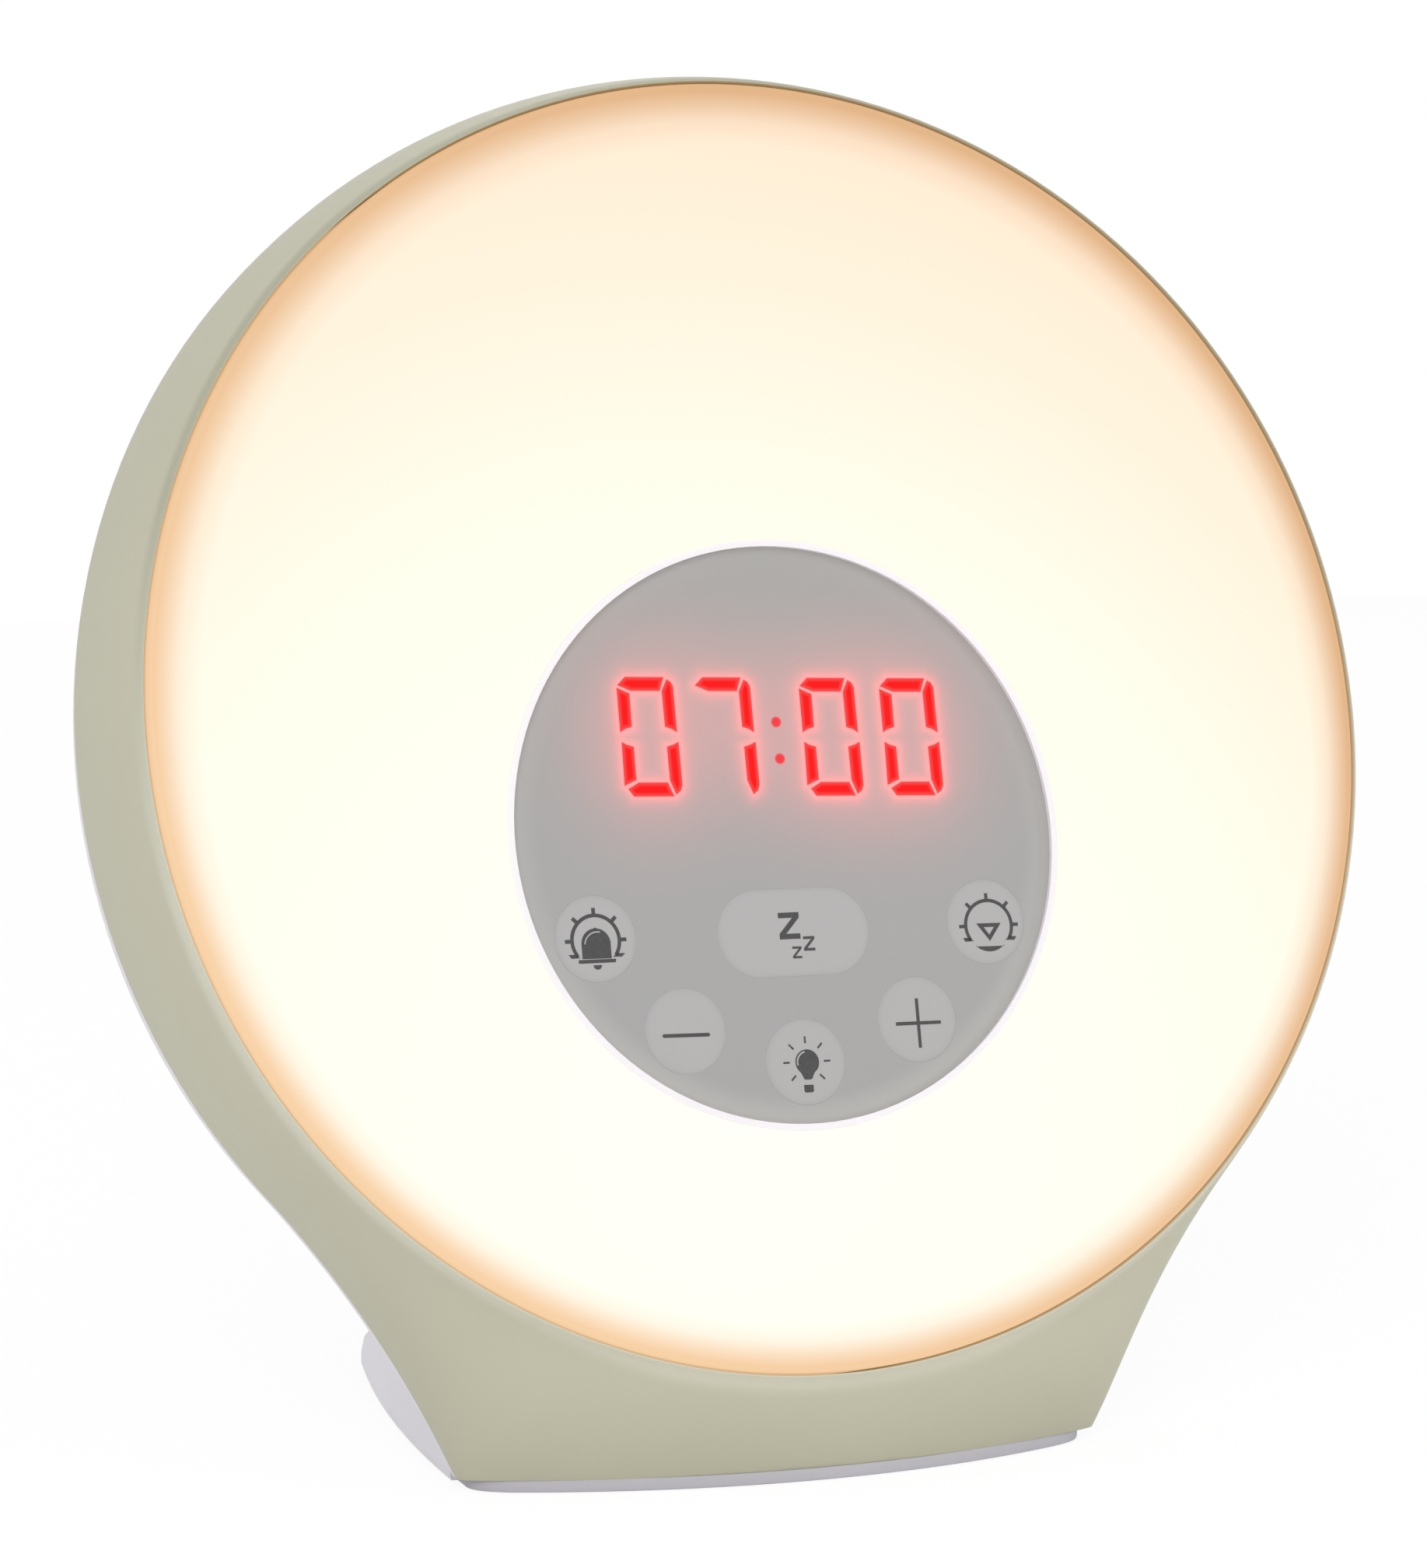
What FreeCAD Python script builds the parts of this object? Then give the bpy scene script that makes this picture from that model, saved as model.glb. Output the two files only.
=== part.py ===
import FreeCAD, Part
import math
import os

V = FreeCAD.Vector

# Sizes in millimetres. A piece is drawn in the face frame: x to the right, d back from the rim
# of the face, v up along the face, with the centre of the diffuser as its origin.

face_tilt = 14.5
face_height = 94.4
seam = 0.25
fit_gap = 0.2

# Diffuser
diffuser_radius = 82.0
diffuser_wall = 2.0
diffuser_shoulder = 2.4
diffuser_crown = 0.5
diffuser_depth = 8.0

# Casing
casing_wall = 2.2
rim_depth = 0.3
casing_margin = 3.45
crown_radius = diffuser_radius + casing_margin
crown_depth = 14.5
crown_front_bend = 36.0
crown_rear_bend = 85.0
parting_depth = 20.0
shoulder_depth = 24.0
shoulder_bend = 34.0
flank_bend = 132.8
flank_angle = 40.0
foot_growth = 16.5
foot_blend = 4.0
foot_blend_at_seam = 0.1
ledge_width = 3.0
ledge_thickness = 2.0

# Foot
pad_thickness = 1.4
pad_inset = 1.2
foot_half_width = 44.4
foot_corner_back = -4.6
foot_nose_back = -13.4
tongue_half_width = 29.5
tongue_back = 72.0
tongue_corner = 18.0
flank_belly = 2.5
tongue_height = 4.6
heel_front = -20.0
corner_lean = 19.0
foot_pocket_inset = 6.0
foot_pocket_front = 26.0
foot_pocket_height = 3.0

# Control panel
panel_drop = 14.8
panel_radius = 36.3
panel_thickness = 1.8
panel_depth = 1.3
panel_edge = 0.3
bezel_width = 0.8
housing_seat = 0.7
board_room = 8.75
control_board_depth = panel_depth + board_room
board_thickness = 1.6
housing_ledge = 2.0
housing_floor = 1.6
housing_screw_circle = 25.0
housing_proud = 0.1
housing_boss_radius = 2.6
board_ledge = 3.0
collar_wall = 1.6
collar_front = 1.0
collar_back = 5.0

# Keys
key_radius = 5.4
key_gap = 0.2
key_proud = 0.2
key_flange = 0.7
key_flange_thickness = 0.8
key_travel = 0.8
snooze_length = 20.6
snooze_height = 11.1
outer_key_x = 26.6
outer_key_v = -12.15
inner_key_x = 15.75
inner_key_v = -24.1
light_key_v = -28.7
snooze_key_v = -12.4
switch_size = 6.0
switch_height = 3.5
plunger_radius = 1.75
key_stop_gap = 0.3
plunger_depth = 1.4
plunger_bore_depth = 2.6
plunger_gap = 0.15
key_stem_radius = 2.2
key_edge = 0.15

# Display
display_v = 12.3
display_length = 50.2
display_height = 19.0
digit_height = 15.0
digit_width = 8.6
segment_width = 1.6
segment_gap = 0.35
segment_thickness = 0.3
colon_radius = 0.8
colon_rise = 2.4
digit_centres = (-18.0, -7.1, 7.1, 18.0)

# Lamp
lamp_margin = 10.0
light_board_radius = diffuser_radius - lamp_margin
reflector_wall = 0.8
reflector_rise = 4.0
led_rings = ((light_board_radius - 6.0, 24), (light_board_radius - 18.0, 18))
led_size = 3.5
led_height = 0.8
led_clearance = 0.9

# Frame behind the lamp
mid_frame_thickness = 2.0
frame_gap = 0.4
window_x = 36.0
window_v = 30.0
window_width = 15.0
window_height = 30.0
window_corner = 5.0
case_screw_circle = light_board_radius + 5.0
case_boss_radius = 3.6
case_post_radius = 4.6
screw_radius = 1.4
small_screw_radius = 1.0
small_head_radius = 2.0
screw_slack = 0.3
head_slack = 0.7
blind_end = 0.8
screw_head_radius = 2.6
screw_head_height = 1.8
counterbore_depth = 30.0

# Rear pieces
speaker_v = 16.0
speaker_radius = 20.0
speaker_depth = 4.0
magnet_radius = 12.0
magnet_depth = 8.0
gasket_thickness = 0.8
speaker_collar_wall = 1.6
speaker_hook = 1.2
cone_throat = 7.0
cone_edge = 2.0
cone_paper = 0.6
basket_skin = 0.8
grille_radius = 17.0
grille_lip = 0.7
grille_recess = 0.6
grille_hole = 1.3
grille_rings = 3
grille_margin = 2.4
door_x = 16.0
door_v = -24.0
door_width = 30.0
door_height = 26.0
door_thickness = 1.8
tray_wall = 1.5
tray_depth = 6.5
tab_reach = 1.7
tab_width = 4.0
tab_thickness = 1.3
tab_spacing = 9.0
latch_width = 7.0
latch_thickness = 1.4
latch_reach = 3.4
notch_width = 9.0
notch_height = 2.6
notch_depth = 0.7
contact_thickness = 0.5
contact_width = 5.0
cell_radius = 10.0
cell_thickness = 3.2
inlet_x = -24.0
inlet_v = -27.0
inlet_width = 9.0
inlet_height = 3.3
inlet_wall = 0.35
inlet_length = 8.0
main_board_width = 80.0
main_board_height = 36.0
main_board_v = -27.0
tray_clearance = 2.2
board_post_radius = 3.0
board_corner = 4.0
inlet_board_width = 16.0
inlet_board_thickness = 1.2

# Leads
ribbon_width = 12.0
ribbon_thickness = 0.8
ribbon_below_panel = 20.0
ribbon_slot_width = 16.0
ribbon_slot_height = 5.0
lead_width = 2.4
lead_thickness = 0.8
light_lead_x = -31.0
light_lead_v = 24.0
ribbon_socket = 4.0
lead_socket = 5.0
speaker_lead_x = -6.0

# Depths that follow from the sizes above
housing_radius = panel_radius + fit_gap + bezel_width
housing_bore = panel_radius - housing_seat
housing_back = control_board_depth + board_thickness + housing_ledge + housing_floor
light_board_depth = housing_back + reflector_wall
mid_frame_depth = light_board_depth + board_thickness
post_front = mid_frame_depth + mid_frame_thickness
back_depth = shoulder_depth + shoulder_bend
back_radius = crown_radius - crown_rear_bend - seam - shoulder_bend + math.sqrt(
    crown_rear_bend ** 2 - (shoulder_depth - crown_depth) ** 2)
back_inside = back_depth - casing_wall
ledge_radius = diffuser_radius - ledge_width
casing_bore = diffuser_radius + fit_gap
panel_axis = -panel_drop
panel_back = panel_depth + panel_thickness
switch_front = control_board_depth - switch_height
board_back = control_board_depth + board_thickness
flange_front = panel_back + fit_gap
flange_back = flange_front + key_flange_thickness
plunger_front = switch_front - key_travel - key_stop_gap
ribbon_v = panel_axis - ribbon_below_panel
speaker_back = back_inside - gasket_thickness
basket_front = speaker_back - speaker_depth
ribbon_end_v = main_board_v - 10.0
light_lead_end_v = main_board_v + 11.0
speaker_lead_end_v = main_board_v + 15.0
tray_floor = back_inside - tray_depth
main_board_back = tray_floor - tray_wall - tray_clearance
main_board_depth = main_board_back - board_thickness
door_back_gap = 0.3
tab_back = back_inside - door_back_gap
tab_room = tab_reach + 2 * door_back_gap
grille_back = back_depth - grille_recess
all_through = 200.0


def cylinder(radius, front, back, x=0.0, v=0.0):
    return Part.makeCylinder(radius, back - front, V(x, front, v), V(0, 1, 0))


def tube(outer, inner, front, back, x=0.0, v=0.0):
    return cylinder(outer, front, back, x, v).cut(cylinder(inner, front - 1, back + 1, x, v))


def block(width, height, front, back, x=0.0, v=0.0):
    return Part.makeBox(width, back - front, height, V(x - width / 2, front, v - height / 2))


def slab(width, height, corner, front, back, x=0.0, v=0.0):
    """A block with its four long edges rounded."""
    solid = block(width, height, front, back, x, v)
    edges = [e for e in solid.Edges if abs(e.Length - (back - front)) < 1e-6 and
             abs(e.Vertexes[0].Point.y - e.Vertexes[1].Point.y) > 1e-6]
    return solid.makeFillet(corner, edges)


def pill(length, height, front, back, x=0.0, v=0.0):
    reach = (length - height) / 2
    solid = block(2 * reach, height, front, back, x, v)
    for side in (-1, 1):
        solid = solid.fuse(cylinder(height / 2, front, back, x + side * reach, v))
    return solid.removeSplitter()


def turned(profile):
    """Revolves (radius, depth) points about the face's axis."""
    points = [V(r, d, 0) for r, d in profile]
    face = Part.Face(Part.makePolygon(points + points[:1]))
    return face.revolve(V(0, 0, 0), V(0, 1, 0), 360)


def polar(radius, degrees):
    return radius * math.cos(math.radians(degrees)), radius * math.sin(math.radians(degrees))


def stand(shape):
    """Turns a shape from the face frame to the standing frame, with the floor at z = 0."""
    placed = shape.copy()
    placed.rotate(V(0, 0, 0), V(1, 0, 0), -face_tilt)
    placed.translate(V(0, 0, face_height))
    return placed


def crown(depth):
    """Radius of the round part of the casing, a soft barrel that is widest near the parting line."""
    bend = crown_front_bend if depth < crown_depth else crown_rear_bend
    return crown_radius - bend + math.sqrt(bend ** 2 - (depth - crown_depth) ** 2)


def flank(degrees):
    """How far the concave flanks stand outside the round at the parting line."""
    turn = math.radians(degrees - flank_angle)
    if turn <= 0:
        return 0.0
    round_radius = crown(parting_depth)
    reach = round_radius + flank_bend
    inside = flank_bend ** 2 - (reach * math.sin(turn)) ** 2
    if inside <= 0:
        return 3 * foot_growth
    return min(reach * math.cos(turn) - math.sqrt(inside) - round_radius, 3 * foot_growth)


def foot_rise(degrees, side_share, base_share, blend):
    """The foot's growth at an angle below the horizontal: flank and base, softly joined."""
    side = flank(degrees) * side_share
    base = foot_growth * base_share
    if side <= 0 or base <= 0:
        return 0.0
    join = -blend * math.log(math.exp(-side / blend) + math.exp(-base / blend))
    return max(join + blend * math.log(1 + math.exp(-base / blend)) * math.exp(-side / blend), 0.0)


# Angles below the horizontal at which an outline is set out, closest where the flank meets the base.
round_angles = list(range(-90, 31, 15))
flank_angles = [36, 41, 46, 51, 55, 58, 60.5, 62.5, 64.5, 66.5, 69, 73, 78, 84, 90]
section_angles = round_angles + flank_angles


def section(depth, radius, side_share, base_share, blend, inset=0.0):
    """Closed outline at one depth, mirrored about the centre plane."""
    half = []
    for below in section_angles:
        reach = radius + foot_rise(below, side_share, base_share, blend) - inset
        half.append((reach * math.cos(math.radians(below)), -reach * math.sin(math.radians(below))))
    outline = half + [(-x, v) for x, v in half[-2:0:-1]]
    curve = Part.BSplineCurve()
    curve.interpolate(Points=[V(x, depth, v) for x, v in outline], PeriodicFlag=True)
    return Part.Wire(curve.toShape())


def front_body(front, back, inset=0.0):
    """The round rim and the foot, which grows out of it from the rim to the parting line."""
    steps = 6
    wires = []
    for step in range(steps + 1):
        depth = front + (back - front) * step / steps
        share = depth / parting_depth
        wires.append(section(depth, crown(depth), 1 - (1 - share) ** 2, share,
                             foot_blend * (1 + foot_blend_at_seam - share), inset))
    return Part.makeLoft(wires, True, False)


def rear_body(front, inset=0.0):
    """The round back, whose share of the foot fades out towards its flat rear."""
    wires = []
    for depth in (front, shoulder_depth):
        share = (back_depth - depth) / (back_depth - parting_depth)
        blend = foot_blend * (1 + foot_blend_at_seam - share)
        wires.append(section(depth, crown(depth) - seam, share, share, blend, inset))
    steps = 6
    bend = shoulder_bend - inset
    for step in range(1, steps + 1):
        angle = math.radians(90 * step / steps)
        depth = shoulder_depth + bend * math.sin(angle)
        share = max(back_depth - inset - depth, 0.0) / (back_depth - parting_depth)
        radius = back_radius + bend * math.cos(angle)
        blend = foot_blend * (1 + foot_blend_at_seam - share)
        wires.append(section(depth, radius, share, share, blend))
    return Part.makeLoft(wires, True, False)


def foot_plan(z, inset, retreat, front):
    """U-shaped outline of the foot at one height: flanks, rounded rear corners and a rear edge."""
    corner = tongue_corner - 0.6 * inset
    base_x = foot_half_width - inset
    end_x = tongue_half_width - inset
    end_y = tongue_back - retreat
    belly = ((base_x + end_x) / 2 + flank_belly, (front + end_y) / 2)
    lean = math.radians(corner_lean)
    centre = (end_x - corner * math.cos(lean), end_y - corner * math.sin(lean))
    mid = math.radians((corner_lean + 90.0) / 2)
    corner_mid = (centre[0] + corner * math.cos(mid), centre[1] + corner * math.sin(mid))
    rear_y = centre[1] + corner
    edges = []
    for side in (1, -1):
        def at(x, y):
            return V(side * x, y, z)
        edges.append(Part.Arc(at(base_x, front), at(*belly), at(end_x, end_y)).toShape())
        edges.append(Part.Arc(at(end_x, end_y), at(*corner_mid), at(centre[0], rear_y)).toShape())
    edges.append(Part.makeLine(V(centre[0], rear_y, z), V(-centre[0], rear_y, z)))
    return edges, base_x, rear_y


def closed_plan(z, inset, retreat=0.0, front=heel_front):
    edges, base_x, rear_y = foot_plan(z, inset, retreat, front)
    edges.append(Part.makeLine(V(base_x, front, z), V(-base_x, front, z)))
    return Part.Wire(Part.__sortEdges__(edges))


def heel():
    """The tongue behind the foot, with a concave top that sweeps up into the round back."""
    base = pad_thickness
    top = tongue_height + pad_thickness
    steps = ((base, 0.6, 0.6), (base + 1.0, 0.0, 0.0), (top - 1.4, 0.0, 0.0), (top, 1.0, 1.0),
             (top + 1.0, 2.8, 3.2), (top + 3.0, 6.0, 8.0), (top + 7.0, 9.5, 17.0),
             (top + 14.0, 12.5, 28.0), (top + 25.0, 15.0, 40.0))
    wires = [closed_plan(z, inset, retreat) for z, inset, retreat in steps]
    return Part.makeLoft(wires, True, False)


def nose_plan(z, inset):
    """Outline of the pad: the bowed front edge of the foot joined to the flanks."""
    edges, base_x, rear_y = foot_plan(z, inset, 0.0, foot_corner_back + inset)
    edges.append(Part.Arc(V(base_x, foot_corner_back + inset, z), V(0, foot_nose_back + inset, z),
                          V(-base_x, foot_corner_back + inset, z)).toShape())
    return Part.Wire(Part.__sortEdges__(edges))


def behind(shape, depth):
    """Keeps what lies behind a depth of the face frame, for a shape in the standing frame."""
    return shape.common(stand(block(400, 400, depth, depth + 300)))


def above(shape, height):
    return shape.common(Part.makeBox(400, 400, 400, V(-200, -200, height)))


def screw(front, back, x, v, head=screw_head_radius, shank=screw_radius):
    """A pan-head screw driven forwards from the back, with a cross recess in its head."""
    solid = cylinder(shank, front, back, x, v).fuse(cylinder(head, back, back + screw_head_height, x, v))
    recess = screw_head_height * 0.6
    for width, height in ((head * 1.1, head * 0.3), (head * 0.3, head * 1.1)):
        solid = solid.cut(block(width, height, back + screw_head_height - recess, back + 9, x, v))
    return solid


def face_screw(head_front, length, x, v):
    """A small screw driven backwards from the front, its head on a board."""
    solid = screw(0, length, 0, 0, small_head_radius, small_screw_radius)
    solid.rotate(V(0, 0, 0), V(1, 0, 0), 180)
    solid.translate(V(x, head_front + screw_head_height + length, v))
    return solid


key_places = {
    "sunrise": (-outer_key_x, outer_key_v),
    "sunset": (outer_key_x, outer_key_v),
    "minus": (-inner_key_x, inner_key_v),
    "plus": (inner_key_x, inner_key_v),
    "light": (0.0, light_key_v),
    "snooze": (0.0, snooze_key_v),
}
screw_places = [polar(case_screw_circle, 45 + 90 * turn) for turn in range(4)]
housing_screw_places = [polar(housing_screw_circle, 90 + 120 * turn) for turn in range(3)]
board_screw_places = [(0.0, 31.0), (-31.5, -1.5), (31.5, -1.5)]
post_x = main_board_width / 2 - board_corner
post_rise = main_board_height / 2 - board_corner
main_board_posts = [(side * post_x, main_board_v + up * post_rise) for side in (-1, 1) for up in (-1, 1)]


def key_shape(name, radial, front, back):
    """A key's outline grown by a radial amount: round, or a pill for snooze."""
    x, v = key_places[name]
    if name == "snooze":
        return pill(snooze_length + 2 * radial, snooze_height + 2 * radial, front, back, x, v + panel_axis)
    return cylinder(key_radius + radial, front, back, x, v + panel_axis)


def make_key(name):
    x, v = key_places[name]
    front = panel_depth - key_proud
    cap = key_shape(name, 0.0, front, flange_front)
    rim = [e for e in cap.Edges if e.BoundBox.YMax < front + 1e-6]
    cap = cap.makeFillet(key_edge, rim)
    flange = key_shape(name, key_flange, flange_front, flange_back)
    stem = cylinder(key_stem_radius, flange_back, plunger_front, x, v + panel_axis)
    return cap.fuse(flange).fuse(stem).removeSplitter()


def make_plunger(name):
    x, v = key_places[name]
    return cylinder(plunger_radius, plunger_front, switch_front + plunger_depth, x, v + panel_axis)


def make_diffuser():
    """A shallow opal cap with rounded shoulders, and a collar round its hole for the panel."""
    r = diffuser_radius
    s = diffuser_shoulder
    inside = r - diffuser_wall
    inner_bend = s + 0.6 - diffuser_wall
    bend_mid = inner_bend * (1 - math.sqrt(0.5))
    front = -diffuser_crown
    skin = diffuser_wall
    edges = [
        Part.Arc(V(0, front, 0), V(r / 2, front * 0.8, 0), V(r - s, -0.05, 0)).toShape(),
        Part.Arc(V(r - s, -0.05, 0), V(r - s * 0.29, s * 0.29, 0), V(r, s, 0)).toShape(),
        Part.makeLine(V(r, s, 0), V(r, diffuser_depth, 0)),
        Part.makeLine(V(r, diffuser_depth, 0), V(inside, diffuser_depth, 0)),
        Part.makeLine(V(inside, diffuser_depth, 0), V(inside, skin + inner_bend, 0)),
        Part.Arc(V(inside, skin + inner_bend, 0), V(inside - bend_mid, skin + bend_mid, 0),
                 V(inside - inner_bend, skin, 0)).toShape(),
        Part.makeLine(V(inside - inner_bend, skin, 0), V(0, skin + front, 0)),
        Part.makeLine(V(0, skin + front, 0), V(0, front, 0))]
    shell = Part.Face(Part.Wire(Part.__sortEdges__(edges))).revolve(V(0, 0, 0), V(0, 1, 0), 360)
    bore = housing_radius + fit_gap
    collar = cylinder(bore + collar_wall, collar_front, collar_back, 0, panel_axis)
    return shell.fuse(collar).cut(cylinder(bore, -all_through, all_through, 0, panel_axis))


def make_front_casing():
    """The sage shell: a ring with a ledge for the diffuser, flowing down into the flared foot."""
    outer = front_body(rim_depth, parting_depth)
    ledge_back = diffuser_depth + ledge_thickness
    hollow = front_body(ledge_back, parting_depth, casing_wall)
    solid = outer.cut(cylinder(casing_bore, -all_through, diffuser_depth))
    solid = solid.cut(cylinder(ledge_radius, -all_through, all_through))
    inside = above(stand(hollow), pad_thickness + casing_wall)
    solid = above(stand(solid).cut(inside), pad_thickness)
    for x, v in screw_places:
        boss = cylinder(case_boss_radius, diffuser_depth, mid_frame_depth, x, v)
        boss = boss.cut(cylinder(screw_radius, diffuser_depth + blind_end, all_through, x, v))
        solid = solid.fuse(stand(boss))
    return solid


def speaker_collar():
    """A ring round the speaker with three hooks that hold its basket."""
    bore = speaker_radius + fit_gap
    front = basket_front - fit_gap - speaker_hook
    ring = tube(bore + speaker_collar_wall, bore, front, back_inside + 0.2, 0, speaker_v)
    hooks = tube(bore + 0.2, bore - speaker_hook, front, basket_front - fit_gap, 0, speaker_v)
    for turn in range(3):
        spoke = block(7.0, all_through, front - 1, basket_front, 0, all_through / 2)
        spoke.rotate(V(0, 0, 0), V(0, 1, 0), 60 + 120 * turn)
        spoke.translate(V(0, 0, speaker_v))
        ring = ring.fuse(hooks.common(spoke))
    return ring


def tray():
    """Battery tray behind the door: a block to be hollowed by tray_hollow."""
    return slab(door_width + 2 * tray_wall, door_height + 2 * tray_wall + tab_room, 2.0,
                tray_floor - tray_wall, back_inside + 0.5, door_x, door_v - tab_room / 2)


def tray_hollow():
    """A round nest for the cell, room above it for the door's tabs and latch, and the contact's slot."""
    nest = cylinder(cell_radius + fit_gap, tray_floor, back_inside, door_x, door_v)
    room = slab(door_width, door_height + tab_room, 1.2, back_inside - latch_reach - 0.3, back_inside,
                door_x, door_v - tab_room / 2)
    slot = block(2 * contact_thickness + fit_gap, contact_width + 2 * fit_gap, tray_floor, back_inside,
                 door_x + cell_radius + contact_thickness, door_v)
    return nest.fuse(room).fuse(slot)


def make_rear_casing():
    """The white shell: a shouldered round back over a heel, with posts, tray and openings."""
    outer = above(behind(stand(rear_body(parting_depth)).fuse(heel()), parting_depth), pad_thickness)
    inner = above(stand(rear_body(parting_depth - 0.01, casing_wall)), pad_thickness + casing_wall)
    solid = outer.cut(inner)
    for x, v in screw_places:
        post = stand(cylinder(case_post_radius, post_front, back_depth, x, v)).common(outer)
        solid = solid.fuse(post)
        counterbore = cylinder(screw_head_radius + head_slack, counterbore_depth, all_through, x, v)
        hole = cylinder(screw_radius + screw_slack, 0, all_through, x, v)
        solid = solid.cut(stand(counterbore)).cut(stand(hole))
    for x, v in main_board_posts:
        post = stand(cylinder(board_post_radius, main_board_back, back_depth, x, v)).common(outer)
        bore = cylinder(small_screw_radius, 0, back_inside - casing_wall, x, v)
        solid = solid.fuse(post.cut(stand(bore)))
    solid = solid.fuse(stand(speaker_collar())).fuse(stand(tray())).cut(stand(tray_hollow()))
    door_hole = slab(door_width + 2 * fit_gap, door_height + 2 * fit_gap, 2.0, back_inside - 0.01,
                     all_through, door_x, door_v)
    grille_seat = cylinder(grille_radius + fit_gap, back_inside - 0.01, grille_back + 0.1, 0, speaker_v)
    grille_window = cylinder(grille_radius - grille_lip, grille_back, all_through, 0, speaker_v)
    inlet_hole = pill(inlet_width + 2 * fit_gap, inlet_height + 2 * fit_gap, back_inside - 1, all_through,
                      inlet_x, inlet_v)
    for opening in (door_hole, grille_seat, grille_window, inlet_hole):
        solid = solid.cut(stand(opening))
    pocket = closed_plan(0, foot_pocket_inset, foot_pocket_inset, foot_pocket_front)
    return solid.cut(Part.Face(pocket).extrude(V(0, 0, pad_thickness + foot_pocket_height)))


def make_foot_pad():
    return Part.Face(nose_plan(0.0, pad_inset)).extrude(V(0, 0, pad_thickness))


def ribbon_slot():
    return block(ribbon_slot_width, ribbon_slot_height, 0, all_through, 0, ribbon_v)


def make_panel_housing():
    """White cup that carries the panel: fascia seat, board ledge, screw bosses and a floor."""
    solid = cylinder(housing_radius, -housing_proud, housing_back, 0, panel_axis)
    solid = solid.cut(cylinder(panel_radius + fit_gap, -all_through, panel_back, 0, panel_axis))
    solid = solid.cut(cylinder(housing_bore, 0, board_back, 0, panel_axis))
    solid = solid.cut(cylinder(housing_bore - board_ledge, 0, housing_back - housing_floor, 0, panel_axis))
    for x, v in housing_screw_places + board_screw_places:
        solid = solid.fuse(cylinder(housing_boss_radius, board_back, housing_back, x, v + panel_axis))
    for x, v in housing_screw_places:
        solid = solid.cut(cylinder(screw_radius, board_back + blind_end, all_through, x, v + panel_axis))
    for x, v in board_screw_places:
        solid = solid.cut(cylinder(small_screw_radius, 0, housing_back - blind_end, x, v + panel_axis))
    return solid.cut(ribbon_slot())


def make_fascia():
    solid = cylinder(panel_radius, panel_depth, panel_back, 0, panel_axis)
    rim = [e for e in solid.Edges if e.BoundBox.YMax < panel_depth + 1e-6]
    solid = solid.makeFillet(panel_edge, rim)
    for name in key_places:
        solid = solid.cut(key_shape(name, key_gap, 0, panel_back + 1))
    return solid


def make_control_board():
    solid = cylinder(housing_bore - fit_gap, control_board_depth, board_back, 0, panel_axis)
    for x, v in board_screw_places:
        solid = solid.cut(cylinder(small_screw_radius + fit_gap, 0, all_through, x, v + panel_axis))
    return solid


def make_tact_switches():
    shapes = []
    for x, v in key_places.values():
        body = slab(switch_size, switch_size, 0.6, switch_front, control_board_depth, x, v + panel_axis)
        bore = cylinder(plunger_radius + plunger_gap, 0, switch_front + plunger_bore_depth, x, v + panel_axis)
        shapes.append(body.cut(bore))
    return Part.makeCompound(shapes)


def segment(length, horizontal):
    """One display segment: a bar with pointed ends, drawn about its own centre."""
    h = segment_width / 2
    reach = length / 2
    points = [(-reach, 0), (-reach + h, h), (reach - h, h), (reach, 0), (reach - h, -h), (-reach + h, -h)]
    if not horizontal:
        points = [(b, a) for a, b in points]
    return points


def digit_segments():
    """Centres, lengths and directions of the seven segments of one digit."""
    wide = digit_width - segment_width
    tall = (digit_height - segment_width) / 2
    bars = [((0, level * tall), wide - segment_gap, True) for level in (1, 0, -1)]
    for side in (-1, 1):
        for half in (-1, 1):
            bars.append(((side * wide / 2, half * tall / 2), tall - segment_gap, False))
    return bars


def make_display():
    """The display block and, on its face, the segments of four digits and the colon."""
    front = panel_back + segment_thickness + 0.05
    lens_front = front - segment_thickness
    middle_v = display_v + panel_axis
    body = slab(display_length, display_height, 0.6, front, control_board_depth, 0, middle_v)
    lenses = []
    for centre in digit_centres:
        for (x, v), length, horizontal in digit_segments():
            points = [V(centre + x + a, lens_front, v + b + middle_v) for a, b in segment(length, horizontal)]
            lens = Part.Face(Part.makePolygon(points + points[:1])).extrude(V(0, segment_thickness, 0))
            lenses.append(lens)
    for half in (-1, 1):
        lenses.append(cylinder(colon_radius, lens_front, front, 0, middle_v + half * colon_rise))
    return body, Part.makeCompound(lenses)


def led_places():
    return [polar(radius, 360 * n / count) for radius, count in led_rings for n in range(count)]


def clear_of_housing(x, v):
    return math.hypot(x, v - panel_axis) > housing_radius + led_size


def make_reflector():
    """A shallow white dish on the light board, with a window for each LED."""
    r = light_board_radius
    front = light_board_depth - reflector_wall
    w = reflector_wall
    dish = turned([(0, front), (r - 1.5, front), (r, front - reflector_rise), (r + w, front - reflector_rise),
                   (r + w - 1.2, light_board_depth), (0, light_board_depth)])
    for x, v in led_places():
        if clear_of_housing(x, v):
            dish = dish.cut(cylinder(led_size / 2 + led_clearance, 0, all_through, x, v))
    return with_housing_holes(dish)


def with_housing_holes(plate):
    """Holes for the housing's screws and a slot for the ribbon, shared by the plates behind the housing."""
    for x, v in housing_screw_places:
        plate = plate.cut(cylinder(screw_radius + fit_gap, 0, all_through, x, v + panel_axis))
    return plate.cut(ribbon_slot())


def make_light_board():
    board = cylinder(light_board_radius - reflector_wall, light_board_depth, mid_frame_depth)
    return with_housing_holes(board)


def make_light_leds():
    front = light_board_depth - led_height
    return Part.makeCompound([block(led_size, led_size, front, light_board_depth, x, v)
                              for x, v in led_places() if clear_of_housing(x, v)])


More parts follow.
